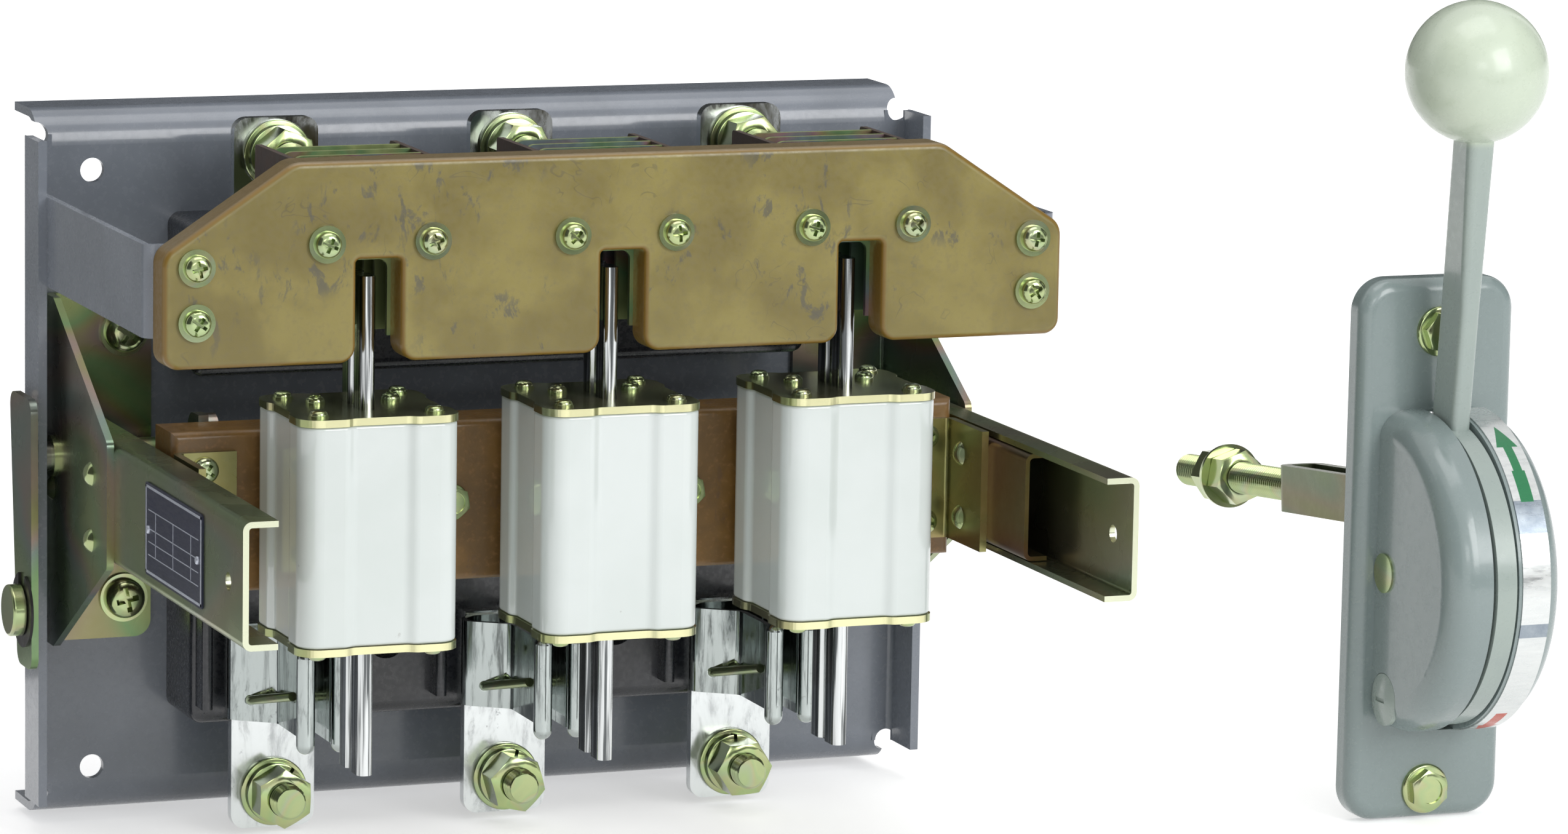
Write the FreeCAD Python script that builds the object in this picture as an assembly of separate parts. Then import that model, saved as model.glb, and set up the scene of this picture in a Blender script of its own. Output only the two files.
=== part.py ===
import FreeCAD, Part
import math
import os

# Three-pole fuse switch disconnector, shown open, with its separate operating handle.
# Millimetres. +Z is up, the front is -Y, +X is to the viewer's right.
# The origin is the centre of the four mounting holes, on the back face of the base sheet.
V = FreeCAD.Vector

# General
pole_pitch = 85.0
mid_z = 2.0
seat_gap = 0.3
run_fit = 0.05
hole_clearance = 0.2
pole_x = [-pole_pitch, 0.0, pole_pitch]
both_sides = (("left", -1), ("right", 1))

# Base plate
plate_width = 328.6
plate_height = 247.6
plate_sheet = 3.0
stand_off = 30.0
lip_radius = 12.0
lip_inset = 4.8
flange_depth = 19.4
flange_height = 231.6
flange_radius = 5.0
corner_notch = 4.0
mount_hole_d = 8.5
mount_spacing_x = 280.0
mount_spacing_z = 210.0
plate_front = -plate_sheet
wall_y = stand_off - plate_sheet
flange_outer = plate_width / 2
flange_inner = flange_outer - plate_sheet
flange_tip = plate_front - flange_depth

# Side brackets and channel arms
bracket_sheet = 2.5
bracket_height = 122.0
bracket_nose_height = 42.8
bracket_reach = 79.9
bracket_shoulder = 11.7
bracket_foot = 37.5
bracket_corner = 6.0
bracket_screw_inset = 27.5
bracket_screw_spacing = 93.6
arm_inset = 9.8
arm_height = 41.6
arm_flange = 11.7
arm_sheet = 2.0
arm_radius = 3.0
arm_start = 4.0
arm_front = -232.5
arm_hole_d = 6.0
arm_hole_inset = 16.0
arm_rivet_d = 5.0
arm_rivets = ((10.0, -5.5), (59.1, 7.5), (59.1, -15.2))
arm_outer = plate_width / 2 - arm_inset
bracket_outer = arm_outer + bracket_sheet
arm_inner = arm_outer - arm_sheet
bracket_screw_x = bracket_outer - bracket_screw_inset
screw_d = 8.0
screw_head_d = 14.0
screw_head_h = 5.0
screw_washer_d = 17.0
screw_washer_t = 1.5

# Nameplate, left arm only
name_length = 66.0
name_height = 31.0
name_sheet = 0.6
name_centre_y = -156.0

# Front barrier and its brackets
barrier_front = -154.9
barrier_thickness = 12.0
barrier_inset = 6.0
barrier_bottom = 59.0
barrier_height = 66.9
barrier_shoulder_height = 37.7
barrier_shoulder_x = 114.2
barrier_corner = 5.5
barrier_edge = 2.2
slot_width = 15.5
slot_depth = 34.2
barrier_half_width = plate_width / 2 - barrier_inset
barrier_back = barrier_front + barrier_thickness
barrier_top = barrier_bottom + barrier_height
barrier_screw_dx = 18.2
barrier_screw_drop = 27.1
barrier_end_screw_inset = 11.0
barrier_end_screw_z = (92.5, 74.5)
barrier_screw_d = 5.0
barrier_head_d = 9.0
barrier_head_h = 3.4
barrier_washer_d = 12.5
barrier_washer_t = 1.2
front_strip_sheet = 2.5
front_strip_bottom = 68.0
front_strip_height = 30.8
front_tab = 25.3

# Arc chutes behind the barrier
chute_width = 49.0
chute_depth = 48.0
chute_top = 124.5
chute_bottom = 62.0
chute_board = 2.0
splitter_y = (-105.4, -116.9, -128.4, -141.0)
splitter_sheet = 1.8
splitter_bottom = 66.0
splitter_notch = 13.0
splitter_notch_top = 91.5

# Insulator blocks
block_half_width = 113.0
block_front = -35.0
block_inner = 34.0
block_outer = 87.7
block_corner = 4.5
block_recess_d = 14.0
block_recess_depth = 20.0
block_rib_w = 4.0
block_rib_out = 8.0
block_rib_dx = 24.5
block_rib_height = 40.0

# Contacts: terminal plate, folded jaw and its wire spring
terminal_width = 30.0
terminal_t = 4.0
terminal_reach = 124.2
terminal_start = 52.0
terminal_corner = 5.0
terminal_bolt_z = 111.5
bolt_d = 12.0
bolt_tip = 6.0
nut_af = 18.0
nut_t = 10.8
bolt_washer_d = 24.0
bolt_washer_t = 2.0
bolt_head_t = 7.5
jaw_sheet = 2.0
jaw_inner_z = 53.0
jaw_height = 30.0
jaw_base_half = 13.0
jaw_half_width = 19.0
jaw_flare = 5.0
jaw_bulge = 10.5
jaw_neck = 20.5
jaw_flat = 55.4
jaw_bend = 4.5
jaw_play = 0.35
finger_d = 6.4
spring_d = 3.2
spring_root = 18.0
spring_reach = 52.0
spring_half = 13.2
spring_tip_half = 8.8
spring_tilt = 13.0
spring_washer_d = 21.0
spring_washer_t = 3.0
spring_z = 75.0
terminal_front = block_front - terminal_t

# Fuses and their knife blades
fuse_size = 55.0
fuse_height = 74.0
fuse_centre_y = -133.0
fuse_lobe = 15.5
fuse_dip = 1.7
fuse_corner = 7.5
fuse_edge = 1.2
end_plate_t = 2.5
end_plate_over = 0.4
blade_reach = 84.0
blade_depth = 23.0
blade_t = 5.2
blade_rail = 8.6
blade_web = 2.6
fuse_rivet_spacing = 40.0
fuse_rivet_d = 4.0
fuse_rivet_head = 7.0
fuse_screw_dx = 13.0
fuse_screw_head = 6.5

# Carriage: cross beam, sliders, end brackets, fuse straps
travel = 53.0
beam_end_gap = 14.0
beam_half_length = arm_outer - beam_end_gap
beam_thickness = 20.0
beam_height = 55.0
beam_edge = 2.5
beam_front = -104.0
beam_pocket_depth = 8.0
beam_wall = 5.0
beam_back = beam_front + beam_thickness
slider_clear = 0.3
slider_sheet = 1.5
slider_flange = 8.5
slider_front = -169.0
slider_length = 93.0
end_sheet = 2.5
end_reach = 32.5
end_foot = 22.0
end_height = 42.0
end_rivets = ((13.4, 10.3), (13.4, -12.0))
slider_inner = arm_outer - arm_flange - 0.5 - slider_sheet
seat_sheet = 1.5
seat_half_width = 18.0
seat_half_height = 20.0
clip_screw_d = 5.0
beam_bolt_head_d = 12.0
beam_bolt_head_h = 4.5
clip_head_d = 9.0
clip_head_h = 3.0

# Crank across the unit, with its outside lever
shaft_d = 10.0
shaft_y = -15.5
shaft_z = 8.0
bush_d = 12.0
bush_flange_d = 14.4
bush_flange_t = 1.5
crank_x = block_half_width + 1.0
crank_sheet = 3.5
crank_radius = 42.0
crank_end = 6.1
crank_hub_d = 18.0
link_gap = 0.5
link_sheet = 3.5
link_pin_d = 8.0
link_pin_y = -77.5
link_pin_z = 25.2
lug_sheet = 3.5
lug_bottom = -8.0
lever_sheet = 2.5
lever_gap = 2.5
lever_top = 30.0
lever_bottom = -64.0
lever_back_top = -3.0
lever_back_bottom = -13.0
lever_front_top = -31.0
lever_front_bottom = -32.0
lever_corner = 5.0
tail_pin_d = 10.0
tail_pin_y = -22.0
tail_pin_z = -44.0
tail_head_d = 18.0
tail_head_h = 4.5
clip_d = 26.0
clip_t = 1.0

# Operating handle, standing apart
handle_x = 312.8
drum_y = -139.2
pivot_forward = 3.3
handle_pivot_z = -33.2
handle_plate_front = -135.2
handle_pivot_y = drum_y - pivot_forward
handle_plate_width = 60.0
handle_plate_height = 194.4
handle_plate_centre = 5.8
handle_plate_depth = 10.0
handle_wall = 3.0
handle_corner = 12.0
handle_edge = 5.0
dome_radius = 57.0
dome_half_width = 22.0
dome_edge = 10.0
hub_slot = 9.8
hub_slot_x = -1.7
strip_x = 9.85
strip_width = 10.7
strip_t = 0.5
handle_bolt_z = (51.0, -113.5)
housing_cavity = 50.0
cavity_half_width = 10.9
handle_bolt_d = 8.0
handle_bolt_flange = 17.9
handle_bolt_af = 13.0
handle_bolt_h = 5.2
hub_radius = 54.5
hub_t = 7.4
hub_bore = 12.0
hub_core_d = 22.0
lever_lean = 5.65
ball_d = 50.0
ball_reach = 179.7
lever_root_width = 17.5
lever_shift = 1.75
lever_neck_width = 15.0
lever_root_t = 7.4
lever_neck_t = 11.0
pivot_d = 12.0
pivot_head_d = 14.0
plug_drop = 45.0
plug_forward = 5.2
plug_d = 18.5
plug_pocket = 1.6
rod_pin_back = 33.5
rod_pin_up = 18.6
rod_pin_d = 8.0
rod_tilt = 5.8
yoke_length = 81.7
yoke_gap = 9.5
yoke_sheet = 4.0
yoke_height = 17.0
yoke_bend = 2.0
rod_d = 12.0
rod_length = 96.0
rod_nut_at = 48.0
rod_nut_t = 10.0
rod_nut_af = 18.0
rod_washer_d = 24.0
rod_washer_t = 2.5
rod_grip = 1.5


def corner_arc(before, corner, after, radius):
    """Start, middle, end and centre of the arc that rounds one corner."""
    back = (before - corner).normalize()
    ahead = (after - corner).normalize()
    half = back.getAngle(ahead) / 2
    run = radius / math.tan(half)
    bisector = (back + ahead).normalize()
    centre = corner + bisector * (radius / math.sin(half))
    middle = centre - bisector * radius
    return corner + back * run, middle, corner + ahead * run, centre


def outline(points):
    """A closed flat wire; each point is (a, b) or (a, b, corner radius)."""
    flat = [V(p[0], p[1], 0) for p in points]
    radii = [p[2] if len(p) > 2 else 0 for p in points]
    count = len(flat)
    arcs = []
    for i in range(count):
        if radii[i] > 0:
            arcs.append(corner_arc(flat[i - 1], flat[i], flat[(i + 1) % count], radii[i])[:3])
        else:
            arcs.append((flat[i], flat[i], flat[i]))
    edges = []
    for i in range(count):
        start, middle, end = arcs[i]
        if radii[i] > 0:
            edges.append(Part.Arc(start, middle, end).toShape())
        following = arcs[(i + 1) % count][0]
        if (following - end).Length > 1e-6:
            edges.append(Part.LineSegment(end, following).toShape())
    return Part.Wire(edges)


def turn_to(plane, shape, level):
    """Stands a solid drawn on XY and pulled along +Z up in another plane."""
    if plane == "xy":
        shape.translate(V(0, 0, level))
        return shape
    matrix = FreeCAD.Matrix()
    if plane == "yz":
        matrix.A11, matrix.A12, matrix.A13, matrix.A14 = 0, 0, 1, level
        matrix.A21, matrix.A22, matrix.A23, matrix.A24 = 1, 0, 0, 0
        matrix.A31, matrix.A32, matrix.A33, matrix.A34 = 0, 1, 0, 0
    else:
        matrix.A11, matrix.A12, matrix.A13, matrix.A14 = 1, 0, 0, 0
        matrix.A21, matrix.A22, matrix.A23, matrix.A24 = 0, 0, -1, level
        matrix.A31, matrix.A32, matrix.A33, matrix.A34 = 0, 1, 0, 0
    return shape.transformed(matrix, True)


def slab(plane, points, level, thickness):
    """A plate of the given outline, from level to level + thickness."""
    solid = Part.Face(outline(points)).extrude(V(0, 0, thickness))
    if plane == "xz":
        return turn_to(plane, solid, level + thickness)
    return turn_to(plane, solid, level)


def bent_sheet(plane, points, thickness, radius, level, width):
    """A folded strip: centre line through points, bends of one centre line radius."""
    flat = [V(p[0], p[1], 0) for p in points]
    sides = []
    for offset in (thickness / 2, -thickness / 2):
        edges = []
        last = flat[0] + normal(flat[0], flat[1]) * offset
        for i in range(1, len(flat) - 1):
            start, middle, end, centre = corner_arc(flat[i - 1], flat[i], flat[i + 1], radius)
            inward = (centre - start).dot(normal(flat[i - 1], flat[i])) > 0
            bend = radius - offset if inward else radius + offset
            arc = [centre + (p - centre).normalize() * bend for p in (start, middle, end)]
            if (arc[0] - last).Length > 1e-6:
                edges.append(Part.LineSegment(last, arc[0]).toShape())
            edges.append(Part.Arc(*arc).toShape())
            last = arc[2]
        finish = flat[-1] + normal(flat[-2], flat[-1]) * offset
        edges.append(Part.LineSegment(last, finish).toShape())
        sides.append(edges)
    caps = []
    for end in (0, -1):
        first = sides[0][end].Vertexes[end].Point
        second = sides[1][end].Vertexes[end].Point
        caps.append(Part.LineSegment(first, second).toShape())
    edges = Part.__sortEdges__(sides[0] + sides[1] + caps)
    solid = Part.Face(Part.Wire(edges)).extrude(V(0, 0, width))
    if plane == "xz":
        return turn_to(plane, solid, level + width)
    return turn_to(plane, solid, level)


def normal(start, end):
    along = (end - start).normalize()
    return V(-along.y, along.x, 0)


def rod(diameter, start, end):
    """A round bar between two points."""
    return Part.makeCylinder(diameter / 2, (end - start).Length, start, end - start)


def rod_x(diameter, x0, x1, y, z):
    return rod(diameter, V(min(x0, x1), y, z), V(max(x0, x1), y, z))


def rod_y(diameter, x, y0, y1, z):
    return rod(diameter, V(x, min(y0, y1), z), V(x, max(y0, y1), z))


def rod_z(diameter, x, y, z0, z1):
    return rod(diameter, V(x, y, min(z0, z1)), V(x, y, max(z0, z1)))


def box(x0, x1, y0, y1, z0, z1):
    low = V(min(x0, x1), min(y0, y1), min(z0, z1))
    return Part.makeBox(abs(x1 - x0), abs(y1 - y0), abs(z1 - z0), low)


def rectangle(a0, a1, b0, b1, radius=0):
    return [(a0, b0, radius), (a1, b0, radius), (a1, b1, radius), (a0, b1, radius)]


def hexagon(across_flats):
    size = across_flats / math.sqrt(3)
    return [(size * math.cos(math.radians(a)), size * math.sin(math.radians(a))) for a in range(0, 360, 60)]


def hex_bar(across_flats, start, direction, length, turn=0):
    """A hexagonal bar along any direction."""
    solid = Part.Face(outline(hexagon(across_flats))).extrude(V(0, 0, length))
    solid.rotate(V(0, 0, 0), V(0, 0, 1), turn)
    solid.Placement = FreeCAD.Placement(start, FreeCAD.Rotation(V(0, 0, 1), direction)).multiply(solid.Placement)
    return solid


def domed_head(diameter, height, seat, direction):
    """A low domed head: a slice of a ball, standing on its seat."""
    radius = (diameter * diameter / 4 + height * height) / (2 * height)
    ball = Part.makeSphere(radius, seat - direction * (radius - height))
    return ball.common(Part.makeCylinder(diameter / 2 + 1, height + 1, seat, direction))


def mirror_x(shape):
    return shape.mirror(V(0, 0, 0), V(1, 0, 0))


def on_side(shape, side):
    """Shapes are drawn on the right, and mirrored for the left."""
    return shape if side > 0 else mirror_x(shape)


def cut_all(shape, tools):
    return shape.cut(tools) if tools else shape


def keep(name, solids):
    """Writes one node, a single solid or a group of separate solids."""
    shape = solids if not isinstance(solids, list) else Part.makeCompound(solids)
    shape.exportStep("parts/" + name + ".step")


def screw(seat, direction, shank_d, shank_l, head_d, head_h):
    """A pan head screw: the head stands on its seat, the shank goes the other way."""
    head = domed_head(head_d, head_h, seat, direction)
    shank = Part.makeCylinder(shank_d / 2, shank_l, seat, direction * -1)
    return head.fuse(shank).removeSplitter()


def washer(seat, direction, outer, inner, thickness):
    disc = Part.makeCylinder(outer / 2, thickness, seat, direction)
    return disc.cut(Part.makeCylinder(inner / 2, thickness, seat, direction))


FRONT = V(0, -1, 0)
UP = V(0, 0, 1)


def base_plate():
    sheet = plate_sheet / 2
    top = mid_z + plate_height / 2 - sheet
    low = mid_z - plate_height / 2 + sheet
    face = plate_front + sheet
    bend = lip_radius - sheet
    half = flange_outer - lip_inset
    lips = [(wall_y, top), (face, top), (face, low), (wall_y, low)]
    pan = bent_sheet("yz", lips, plate_sheet, bend, -half, 2 * half)
    side = flange_outer - sheet
    inner = flange_outer - 2 * flange_radius
    low_end = mid_z - flange_height / 2
    for x_side in (-1, 1):
        fold = [(x_side * side, flange_tip), (x_side * side, face), (x_side * inner, face)]
        pan = pan.fuse(bent_sheet("xy", fold, plate_sheet, flange_radius - sheet, low_end, flange_height))
    tools = []
    for x_side in (-1, 1):
        for z_side in (-1, 1):
            z_notch = mid_z + z_side * flange_height / 2
            tools.append(rod_y(2 * corner_notch, x_side * half, plate_front - 1, wall_y, z_notch))
            x_hole = x_side * mount_spacing_x / 2
            z_hole = z_side * mount_spacing_z / 2
            tools.append(rod_y(mount_hole_d, x_hole, plate_front - 1, wall_y, z_hole))
            z_screw = mid_z + z_side * bracket_screw_spacing / 2
            tools.append(rod_y(screw_d + hole_clearance, x_side * bracket_screw_x, plate_front - 1, wall_y, z_screw))
        tools.append(rod_x(shaft_d + 2, x_side * (flange_inner - 1), x_side * (flange_outer + 1), shaft_y, shaft_z))
    tools += block_screw_holes(plate_front - 1, wall_y)
    return pan.cut(tools).removeSplitter()


def block_screw_places():
    places = []
    for x in (-pole_pitch / 2, pole_pitch / 2):
        for z_side in (-1, 1):
            places.append((x, mid_z + z_side * (block_inner + block_outer) / 2))
    return places


def block_screw_holes(y0, y1):
    return [rod_y(clip_screw_d + hole_clearance, x, y0, y1, z) for x, z in block_screw_places()]


def side_bracket(side):
    web = arm_outer + bracket_sheet / 2
    foot = plate_front - bracket_sheet / 2
    tip = plate_front - bracket_reach
    low = mid_z - bracket_height / 2
    fold = [(web, tip), (web, foot), (bracket_outer - bracket_foot, foot)]
    shape = bent_sheet("xy", fold, bracket_sheet, bracket_sheet, low, bracket_height)
    high = bracket_height / 2
    nose = bracket_nose_height / 2
    shoulder = plate_front - bracket_shoulder
    side_view = [(plate_front, mid_z - high), (plate_front, mid_z + high), (shoulder, mid_z + high, 2.0),
                 (tip, mid_z + nose, 3.0), (tip, mid_z - nose, 3.0), (shoulder, mid_z - high, 2.0)]
    shape = shape.common(slab("yz", side_view, arm_outer - bracket_foot, bracket_foot + bracket_sheet + 1))
    foot_view = rectangle(bracket_outer - bracket_foot, bracket_outer + 30, mid_z - high, mid_z + high)
    foot_view = [(p[0], p[1], bracket_corner if p[0] < arm_outer else 0) for p in foot_view]
    shape = shape.common(slab("xz", foot_view, tip - 1, bracket_reach + 2))
    tools = []
    for z_side in (-1, 1):
        z_screw = mid_z + z_side * bracket_screw_spacing / 2
        tools.append(rod_y(screw_d + hole_clearance, bracket_screw_x, plate_front - bracket_sheet - 1, wall_y, z_screw))
    tools += arm_rivet_bars(arm_rivet_d, arm_inner - 1, bracket_outer + 1)
    tools.append(rod_x(bush_d, arm_inner - 1, bracket_outer + 1, shaft_y, shaft_z))
    return on_side(shape.cut(tools), side)


def arm_rivet_bars(diameter, x0, x1):
    return [rod_x(diameter, x0, x1, plate_front - dy, mid_z + dz) for dy, dz in arm_rivets]


def channel_arm(side):
    web = arm_outer - arm_sheet / 2
    tip = arm_outer - arm_flange
    high = mid_z + arm_height / 2 - arm_sheet / 2
    low = mid_z - arm_height / 2 + arm_sheet / 2
    back = plate_front - arm_start
    fold = [(tip, high), (web, high), (web, low), (tip, low)]
    shape = bent_sheet("xz", fold, arm_sheet, arm_radius - arm_sheet / 2, arm_front, back - arm_front)
    tools = arm_rivet_bars(arm_rivet_d, arm_inner - 1, arm_outer + 1)
    tools.append(rod_x(arm_hole_d, arm_inner - 1, arm_outer + 1, arm_front + arm_hole_inset, mid_z - 1))
    tools.append(rod_x(bush_d, arm_inner - 1, arm_outer + 1, shaft_y, shaft_z))
    return on_side(shape.cut(tools), side)


def arm_rivet_group():
    """Domed outside, and set flat in the arm's web so that the slider passes."""
    rivets = []
    for side in (-1, 1):
        for dy, dz in arm_rivets:
            seat = V(bracket_outer, plate_front - dy, mid_z + dz)
            shank = rod_x(arm_rivet_d, arm_inner, bracket_outer, seat.y, seat.z)
            rivets.append(on_side(domed_head(8.5, 2.4, seat, V(1, 0, 0)).fuse(shank), side))
    return rivets


def bracket_fasteners():
    screws = []
    washers = []
    for side in (-1, 1):
        for z_side in (-1, 1):
            seat = V(side * bracket_screw_x, plate_front - bracket_sheet, mid_z + z_side * bracket_screw_spacing / 2)
            washers.append(washer(seat, FRONT, screw_washer_d, screw_d + hole_clearance, screw_washer_t))
            head = seat + FRONT * screw_washer_t
            grip = screw_washer_t + bracket_sheet + plate_sheet + 6.0
            screws.append(screw(head, FRONT, screw_d, grip, screw_head_d, screw_head_h))
    return screws, washers


def nameplate():
    y0 = name_centre_y - name_length / 2
    view = rectangle(y0, y0 + name_length, mid_z - name_height / 2, mid_z + name_height / 2, 1.5)
    return slab("yz", view, -arm_outer - name_sheet, name_sheet)


def front_bracket(side):
    sheet = front_strip_sheet
    web = flange_inner - sheet / 2
    tab = barrier_back + sheet / 2
    fold = [(web, plate_front - flange_radius / 2), (web, tab), (flange_inner - front_tab, tab)]
    shape = bent_sheet("xy", fold, sheet, sheet, front_strip_bottom, front_strip_height)
    shape = shape.cut([rod_y(barrier_screw_d + hole_clearance, x, barrier_back - 1, barrier_back + sheet + 1, z)
                       for x, z in barrier_end_screws() if x > 0])
    return on_side(shape, side)


def barrier_end_screws():
    x = barrier_half_width - barrier_end_screw_inset
    return [(s * x, z) for s in (-1, 1) for z in barrier_end_screw_z]


def barrier_pole_screws():
    z = barrier_top - barrier_screw_drop
    return [(x + s * barrier_screw_dx, z) for x in pole_x for s in (-1, 1)]


def barrier_outline():
    shoulder = barrier_bottom + barrier_shoulder_height
    bottom = [(-barrier_half_width, barrier_bottom, barrier_corner)]
    for x in pole_x:
        left, right = x - slot_width / 2, x + slot_width / 2
        top = barrier_bottom + slot_depth
        bottom += [(left, barrier_bottom, barrier_corner), (left, top, 1.5)]
        bottom += [(right, top, 1.5), (right, barrier_bottom, barrier_corner)]
    bottom.append((barrier_half_width, barrier_bottom, barrier_corner))
    top_side = [(barrier_half_width, shoulder, 7.0), (barrier_shoulder_x, barrier_top, 9.0),
                (-barrier_shoulder_x, barrier_top, 9.0), (-barrier_half_width, shoulder, 7.0)]
    return bottom + top_side


def front_barrier():
    shape = slab("xz", barrier_outline(), barrier_front, barrier_thickness)
    front_edges = [e for e in shape.Edges if e.BoundBox.YMax < barrier_front + 0.01]
    shape = shape.makeFillet(barrier_edge, front_edges)
    holes = []
    for x, z in barrier_end_screws() + barrier_pole_screws():
        holes.append(rod_y(barrier_screw_d + hole_clearance, x, barrier_front - 1, barrier_back + 1, z))
    return shape.cut(holes)


def barrier_fasteners():
    screws = []
    washers = []
    for x, z in barrier_end_screws() + barrier_pole_screws():
        seat = V(x, barrier_front, z)
        washers.append(washer(seat, FRONT, barrier_washer_d, barrier_screw_d + hole_clearance, barrier_washer_t))
        head = seat + FRONT * barrier_washer_t
        grip = barrier_washer_t + barrier_thickness + front_strip_sheet + 2.0
        screws.append(screw(head, FRONT, barrier_screw_d, grip, barrier_head_d, barrier_head_h))
    return screws, washers


def chute_boards(x):
    """Two side boards of one arc chute."""
    view = rectangle(barrier_back, barrier_back + chute_depth, chute_bottom, chute_top, 1.5)
    inner = chute_width / 2 - chute_board
    return [slab("yz", view, x + inner, chute_board), slab("yz", view, x - chute_width / 2, chute_board)]


def splitter_plates(x):
    """Splitter plates across the chute, notched from below for the blade."""
    half = chute_width / 2 - chute_board
    notch = splitter_notch / 2
    view = [(x - half, splitter_bottom), (x - notch, splitter_bottom), (x - notch, splitter_notch_top, 3.0),
            (x + notch, splitter_notch_top, 3.0), (x + notch, splitter_bottom), (x + half, splitter_bottom),
            (x + half, chute_top), (x - half, chute_top, 4.0)]
    plates = []
    for y in splitter_y:
        plate = slab("xz", view, y - splitter_sheet / 2, splitter_sheet)
        if y == splitter_y[-1]:
            plate.translate(V(0, barrier_back - plate.BoundBox.YMin, 0))
            plate = plate.cut([rod_y(barrier_screw_d + hole_clearance, sx, barrier_back - 1, barrier_back + 5, sz)
                               for sx, sz in barrier_pole_screws() if abs(sx - x) < pole_pitch / 2])
        plates.append(plate)
    return plates


def insulator_block(z_side):
    low, high = sorted((mid_z + z_side * block_inner, mid_z + z_side * block_outer))
    view = rectangle(-block_half_width, block_half_width, low, high)
    shape = slab("xz", view, block_front, plate_front - block_front)
    edges = [e for e in shape.Edges if e.BoundBox.YMax < block_front + 0.01 or e.BoundBox.YLength > 1]
    shape = shape.makeFillet(block_corner, edges)
    middle = (low + high) / 2
    ribs = []
    for x in pole_x:
        for s in (-1, 1):
            x0 = x + s * block_rib_dx - block_rib_w / 2
            rib = box(x0, x0 + block_rib_w, block_front - block_rib_out, block_front + 1,
                      middle - block_rib_height / 2, middle + block_rib_height / 2)
            tall = [e for e in rib.Edges if e.BoundBox.ZLength > 1 and e.BoundBox.YMax < block_front]
            ribs.append(rib.makeFillet(1.8, tall))
    shape = shape.fuse(ribs)
    tools = block_screw_holes(block_front - 1, wall_y)
    for x, z in block_screw_places():
        tools.append(rod_y(block_recess_d, x, block_front - 1, block_front + block_recess_depth, z))
    return shape.cut(tools).removeSplitter()


def terminal(x, z_side):
    start = mid_z + z_side * terminal_start
    end = mid_z + z_side * terminal_reach
    view = [(x - terminal_width / 2, start), (x + terminal_width / 2, start),
            (x + terminal_width / 2, end, terminal_corner), (x - terminal_width / 2, end, terminal_corner)]
    shape = slab("xz", view, terminal_front, terminal_t)
    bolt = rod_y(bolt_d + hole_clearance, x, terminal_front - 1, block_front + 1, mid_z + z_side * terminal_bolt_z)
    return shape.cut(bolt)


def jaw_profile():
    """Centre line of the right leaf, from the middle of its back, in plan."""
    back = terminal_front - jaw_sheet / 2
    side = jaw_half_width - jaw_sheet / 2
    grip = blade_t / 2 + jaw_play + jaw_sheet / 2
    front = terminal_front - jaw_flat
    return [(0, back), (jaw_base_half, back), (side, back - jaw_flare), (side, terminal_front - jaw_bulge),
            (grip, terminal_front - jaw_neck), (grip, front)]


def contact_jaw(x, z_side):
    """One folded sheet with two leaves; each leaf ends in a thick rounded finger."""
    low = min(mid_z + z_side * jaw_inner_z, mid_z + z_side * (jaw_inner_z + jaw_height))
    leaf = bent_sheet("xy", jaw_profile(), jaw_sheet, jaw_bend, low, jaw_height)
    tip = jaw_profile()[-1]
    finger_x = blade_t / 2 + jaw_play + finger_d / 2
    finger_y = tip[1] - finger_d / 2 + 1.0
    near, far = low, low + jaw_height
    finger = rod_z(finger_d, finger_x, finger_y, near, far)
    for z in (near, far):
        finger = finger.fuse(Part.makeSphere(finger_d / 2, V(finger_x, finger_y, z)))
    half = leaf.fuse(finger)
    shape = half.fuse(mirror_x(half))
    shape = shape.cut(jaw_spring(0, z_side, spring_d + 2 * seat_gap))
    shape.translate(V(x, 0, 0))
    return shape.removeSplitter()


def jaw_spring(x, z_side, diameter):
    """A U-shaped wire spring: its bend lies inside the jaw, its legs press the leaves from outside."""
    z = mid_z + z_side * spring_z
    root = terminal_front - spring_root
    tip = terminal_front - spring_reach
    reach = root - tip
    lean = math.atan2(reach, spring_tip_half) - math.acos(spring_half / math.hypot(reach, spring_tip_half))
    across = spring_half * math.cos(lean)
    meet = root - spring_half * math.sin(lean)
    ends = [V(x + side * spring_tip_half, tip, z) for side in (-1, 1)]
    bend = [V(x + side * across, meet, z) for side in (-1, 1)]
    arc = Part.Arc(bend[0], V(x, root + spring_half, z), bend[1]).toShape()
    path = Part.Wire([Part.makeLine(ends[0], bend[0]), arc, Part.makeLine(bend[1], ends[1])])
    section = Part.Wire([Part.makeCircle(diameter / 2, ends[0], bend[0] - ends[0])])
    wire = path.makePipeShell([section], True, False)
    wire.rotate(V(x, root, z), V(1, 0, 0), spring_tilt * z_side)
    return wire


def terminal_fasteners(z_side):
    """Bolts with their heads behind the terminals, washers and nuts in front."""
    bolts = []
    nuts = []
    washers = []
    z = mid_z + z_side * terminal_bolt_z
    stack = bolt_washer_t + spring_washer_t
    for x in pole_x:
        seat = V(x, block_front, z)
        front = V(x, terminal_front, z)
        shank = Part.makeCylinder(bolt_d / 2, terminal_t + stack + nut_t + bolt_tip, seat, FRONT)
        bolts.append(shank.fuse(hex_bar(nut_af, seat - FRONT * bolt_head_t, FRONT, bolt_head_t, 8)))
        hole = bolt_d + hole_clearance
        washers.append(washer(front, FRONT, bolt_washer_d, hole, bolt_washer_t))
        washers.append(washer(front + FRONT * bolt_washer_t, FRONT, spring_washer_d, hole, spring_washer_t))
        nut = hex_bar(nut_af, front + FRONT * stack, FRONT, nut_t, 8)
        nuts.append(nut.cut(Part.makeCylinder(hole / 2, 40, front, FRONT)))
    return bolts, nuts, washers


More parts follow.
